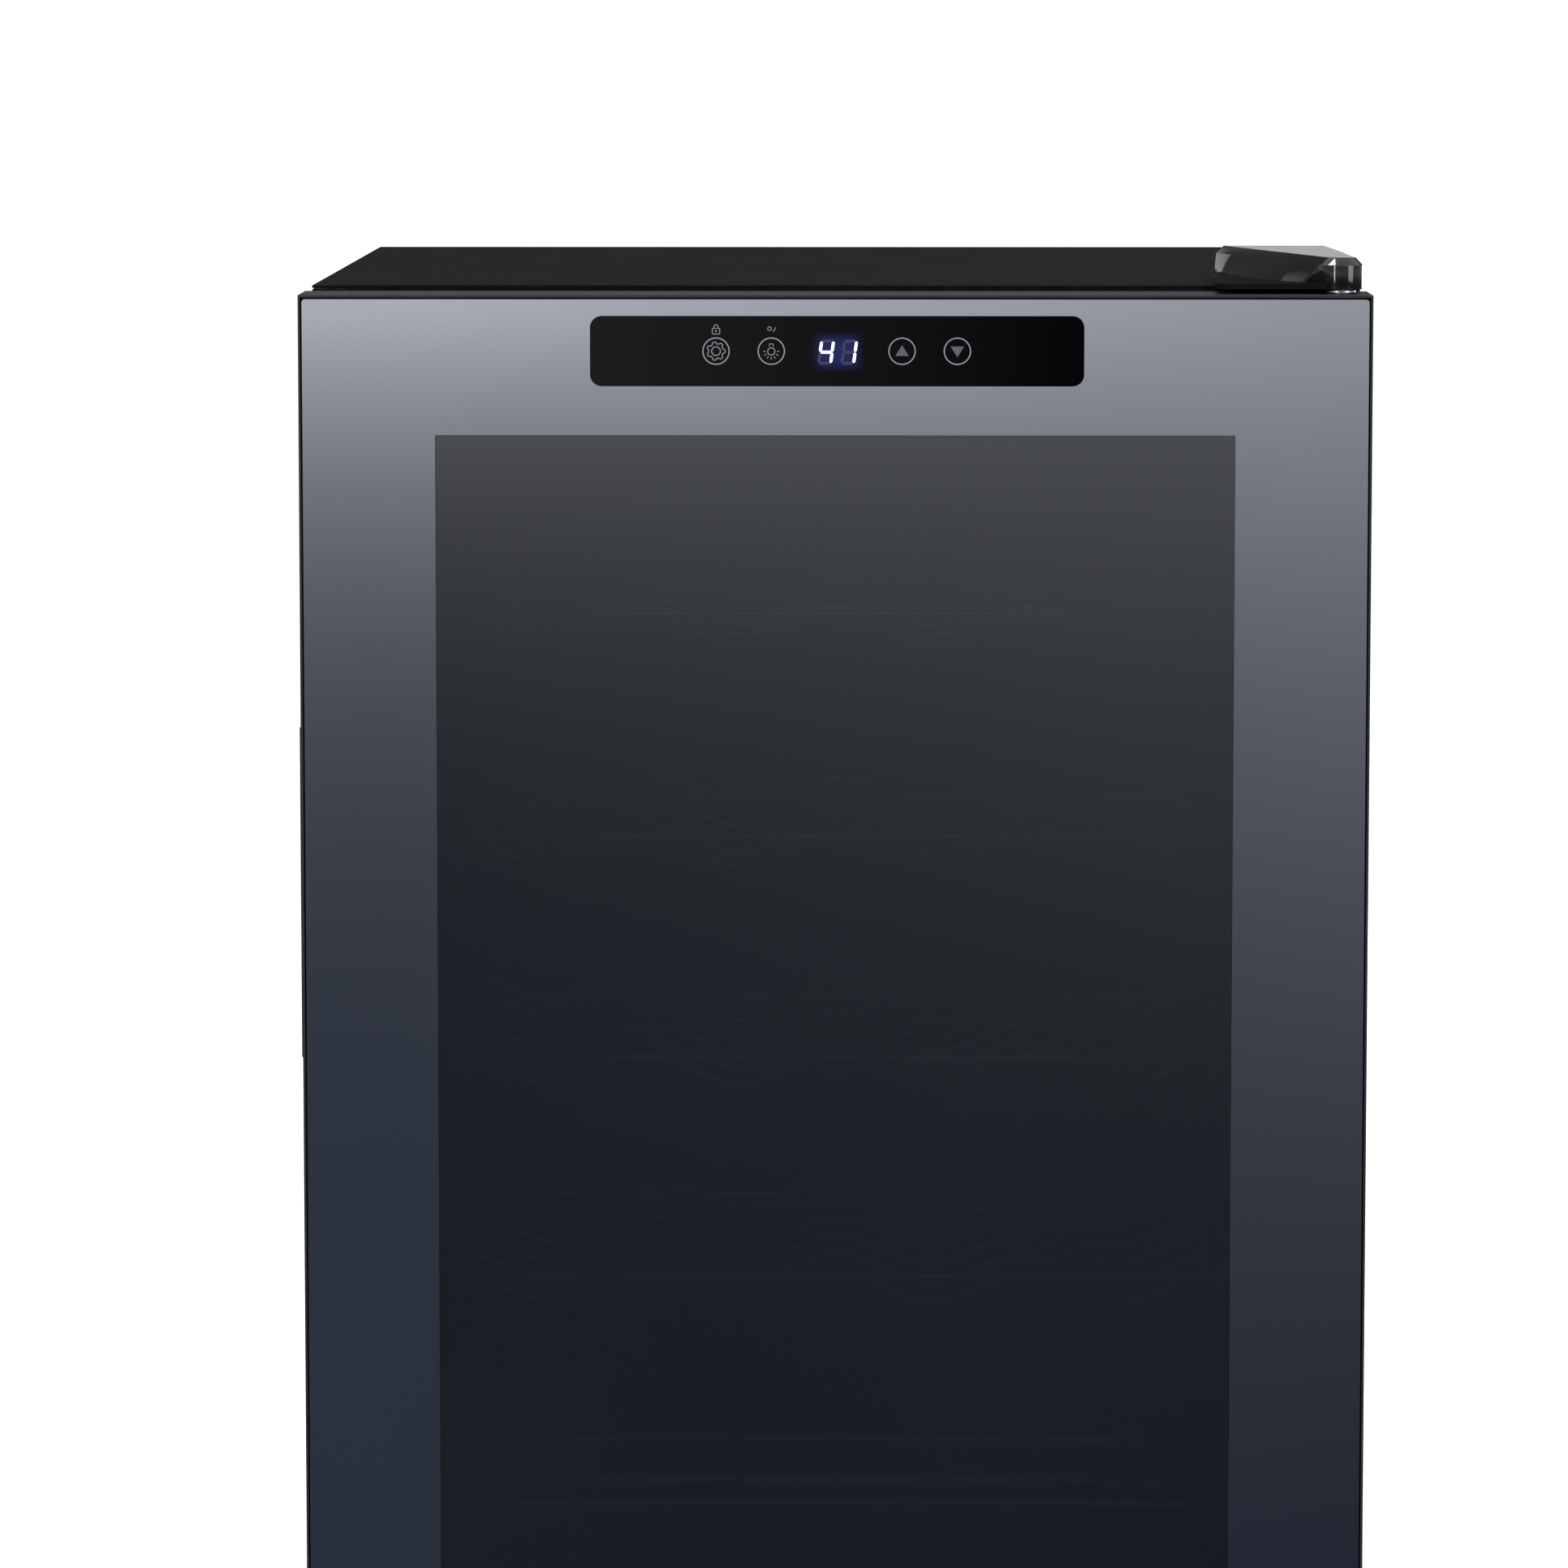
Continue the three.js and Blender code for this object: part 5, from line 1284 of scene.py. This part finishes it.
class COOLER_OT_stage(bpy.types.Operator):
    """Sets up the floor, the surroundings, the lights and the camera"""

    bl_idname = "cooler.stage"
    bl_label = "Stage"

    def execute(self, context):
        sizes = context.scene.cooler_stage
        context.scene.view_settings.view_transform = "Standard"
        self.floor(sizes)
        self.surroundings(context.scene)
        self.lights()
        self.camera(context.scene, sizes)
        return {"FINISHED"}

    def floor(self, sizes):
        work = bmesh.new()
        bmesh.ops.create_circle(work, cap_ends=True, segments=96, radius=9.0)
        mesh = bpy.data.meshes.new("studio_floor")
        work.to_mesh(mesh)
        work.free()
        look = Finish("pale_floor", sizes.floor, 0.9, Specular_IOR_Level=0.0)
        FINISHES["floor"] = look.material
        floor = object_from(mesh, "studio_floor", "floor")
        floor.visible_glossy = False

    def surroundings(self, scene):
        world = bpy.data.worlds.new("studio")
        world.use_nodes = True
        scene.world = world
        tree_nodes, link = world.node_tree.nodes, world.node_tree.links.new

        def add(kind, **inputs):
            node = tree_nodes.new(kind)
            for socket, value in inputs.items():
                socket = socket.replace("_", " ")
                if isinstance(value, bpy.types.NodeSocket):
                    link(value, node.inputs[socket])
                else:
                    node.inputs[socket].default_value = value
            return node

        def ramp(factor, stops):
            node = add("ShaderNodeValToRGB", Fac=factor)
            elements = node.color_ramp.elements
            while len(elements) < len(stops):
                elements.new(0.5)
            for element, (position, shade) in zip(elements, sorted(stops)):
                element.position = position
                element.color = (*shade, 1.0)
            return node.outputs["Color"]

        def mix(factor, first, second):
            node = tree_nodes.new("ShaderNodeMix")
            node.data_type = "RGBA"
            for number, value in ((0, factor), (6, first), (7, second)):
                if isinstance(value, bpy.types.NodeSocket):
                    link(value, node.inputs[number])
                else:
                    node.inputs[number].default_value = value
            return node.outputs[2]

        background = tree_nodes["Background"]
        way = add("ShaderNodeTexCoord").outputs["Generated"]
        split = add("ShaderNodeSeparateXYZ", Vector=way).outputs
        below = add("ShaderNodeMath", Value=split["Z"])
        below.operation = "MULTIPLY"
        below.inputs[1].default_value = -1.0
        below = below.outputs["Value"]

        def side(glow, dark, fading):
            faded = add("ShaderNodeMath", Value=below)
            faded.operation = "SUBTRACT"
            faded.inputs[1].default_value = GLOW_EDGE
            lengths = add("ShaderNodeMath", Value=faded.outputs["Value"])
            lengths.operation = "DIVIDE"
            lengths.inputs[1].default_value = -fading
            capped = add("ShaderNodeMath", Value=lengths.outputs["Value"])
            capped.operation = "MINIMUM"
            capped.inputs[1].default_value = 0.0
            share = add("ShaderNodeMath", Value=capped.outputs["Value"])
            share.operation = "EXPONENT"
            near = [g + d for g, d in zip(glow, dark)]
            return mix(share.outputs["Value"], (*dark, 1.0), (*near, 1.0))

        aside = add("ShaderNodeMapRange", Value=split["X"], From_Min=-GLOW_TURN, From_Max=GLOW_TURN)
        room = mix(aside.outputs["Result"], side(**LEFT_GLOW), side(**RIGHT_GLOW))
        deep = add("ShaderNodeMapRange", Value=below, From_Min=FLOOR_FROM[0], From_Max=FLOOR_FROM[1])
        low = mix(deep.outputs["Result"], room, ramp(below, FLOOR_SEEN))
        front = ramp(split["Z"], FRONT_SEEN)
        rear = ramp(split["Z"], REAR_SEEN)
        back = add("ShaderNodeMapRange", Value=split["Y"], From_Min=0.55, From_Max=0.8).outputs["Result"]
        up = add("ShaderNodeMapRange", Value=split["Z"], From_Min=-0.012, From_Max=0.0).outputs["Result"]
        gloss = mix(up, low, mix(back, front, rear))
        rays = add("ShaderNodeLightPath").outputs
        link(mix(rays["Is Glossy Ray"], (1.15, 1.15, 1.15, 1.0), gloss), background.inputs["Color"])
        background.inputs["Strength"].default_value = 1.0

    def lights(self):
        for name, place, width, height, watts in (
            ("ceiling_softbox", (-0.9, -0.1, 2.7), 0.9, 0.9, 36.0),
            ("left_strip", (-1.35, -2.4, 1.1), 0.22, 2.0, 18.0),
            ("right_softbox", (1.9, -1.6, 1.2), 1.1, 2.0, 24.0),
            ("rear_softbox", (1.2, 2.4, 0.5), 1.4, 0.8, 20.0),
        ):
            light = bpy.data.lights.new(name, "AREA")
            light.shape = "RECTANGLE"
            light.size = width
            light.size_y = height
            light.energy = watts
            lamp = bpy.data.objects.new(name, light)
            lamp.location = place
            lamp.visible_camera = False
            aim = Vector((0.0, 0.0, 0.35)) - Vector(place)
            lamp.rotation_euler = aim.to_track_quat("-Z", "Y").to_euler()
            bpy.context.scene.collection.objects.link(lamp)

    def camera(self, scene, sizes):
        camera = bpy.data.cameras.new("studio_camera")
        camera.lens = sizes.lens
        camera.sensor_width = 36.0
        camera.clip_start = 0.05
        camera.clip_end = 60.0
        stand = bpy.data.objects.new("studio_camera", camera)
        stand.location = sizes.camera_place
        stand.rotation_euler = (math.pi / 2 - sizes.camera_down, 0.0, sizes.camera_left)
        scene.collection.objects.link(stand)
        scene.camera = stand


class COOLER_PT_panel(bpy.types.Panel):
    """Lists the sizes and the pieces"""

    bl_label = "Wine Cooler"
    bl_idname = "COOLER_PT_panel"
    bl_space_type = "VIEW_3D"
    bl_region_type = "UI"
    bl_category = "Wine Cooler"

    def draw(self, context):
        for name in SETTINGS:
            group = getattr(context.scene, name)
            box = self.layout.box()
            box.label(text=type(group).__name__)
            for key in type(group).__annotations__:
                box.prop(group, key)
        for operator in OPERATORS:
            self.layout.operator(operator.bl_idname)


SETTINGS = {
    "cooler_cabinet": CabinetSettings,
    "cooler_shelves": ShelfSettings,
    "cooler_door": DoorSettings,
    "cooler_stage": StageSettings,
}
OPERATORS = (
    COOLER_OT_finishes, COOLER_OT_cabinet, COOLER_OT_air, COOLER_OT_shelves, COOLER_OT_bay,
    COOLER_OT_hinges, COOLER_OT_feet, COOLER_OT_door, COOLER_OT_controls, COOLER_OT_stage,
)


def register():
    for cls in (*SETTINGS.values(), *OPERATORS, COOLER_PT_panel):
        bpy.utils.register_class(cls)
    for name, cls in SETTINGS.items():
        setattr(bpy.types.Scene, name, PointerProperty(type=cls))


def unregister():
    for name in SETTINGS:
        delattr(bpy.types.Scene, name)
    for cls in reversed((*SETTINGS.values(), *OPERATORS, COOLER_PT_panel)):
        bpy.utils.unregister_class(cls)


def main():
    register()
    for operator in OPERATORS:
        group, name = operator.bl_idname.split(".")
        getattr(getattr(bpy.ops, group), name)()


if __name__ == "__main__":
    main()
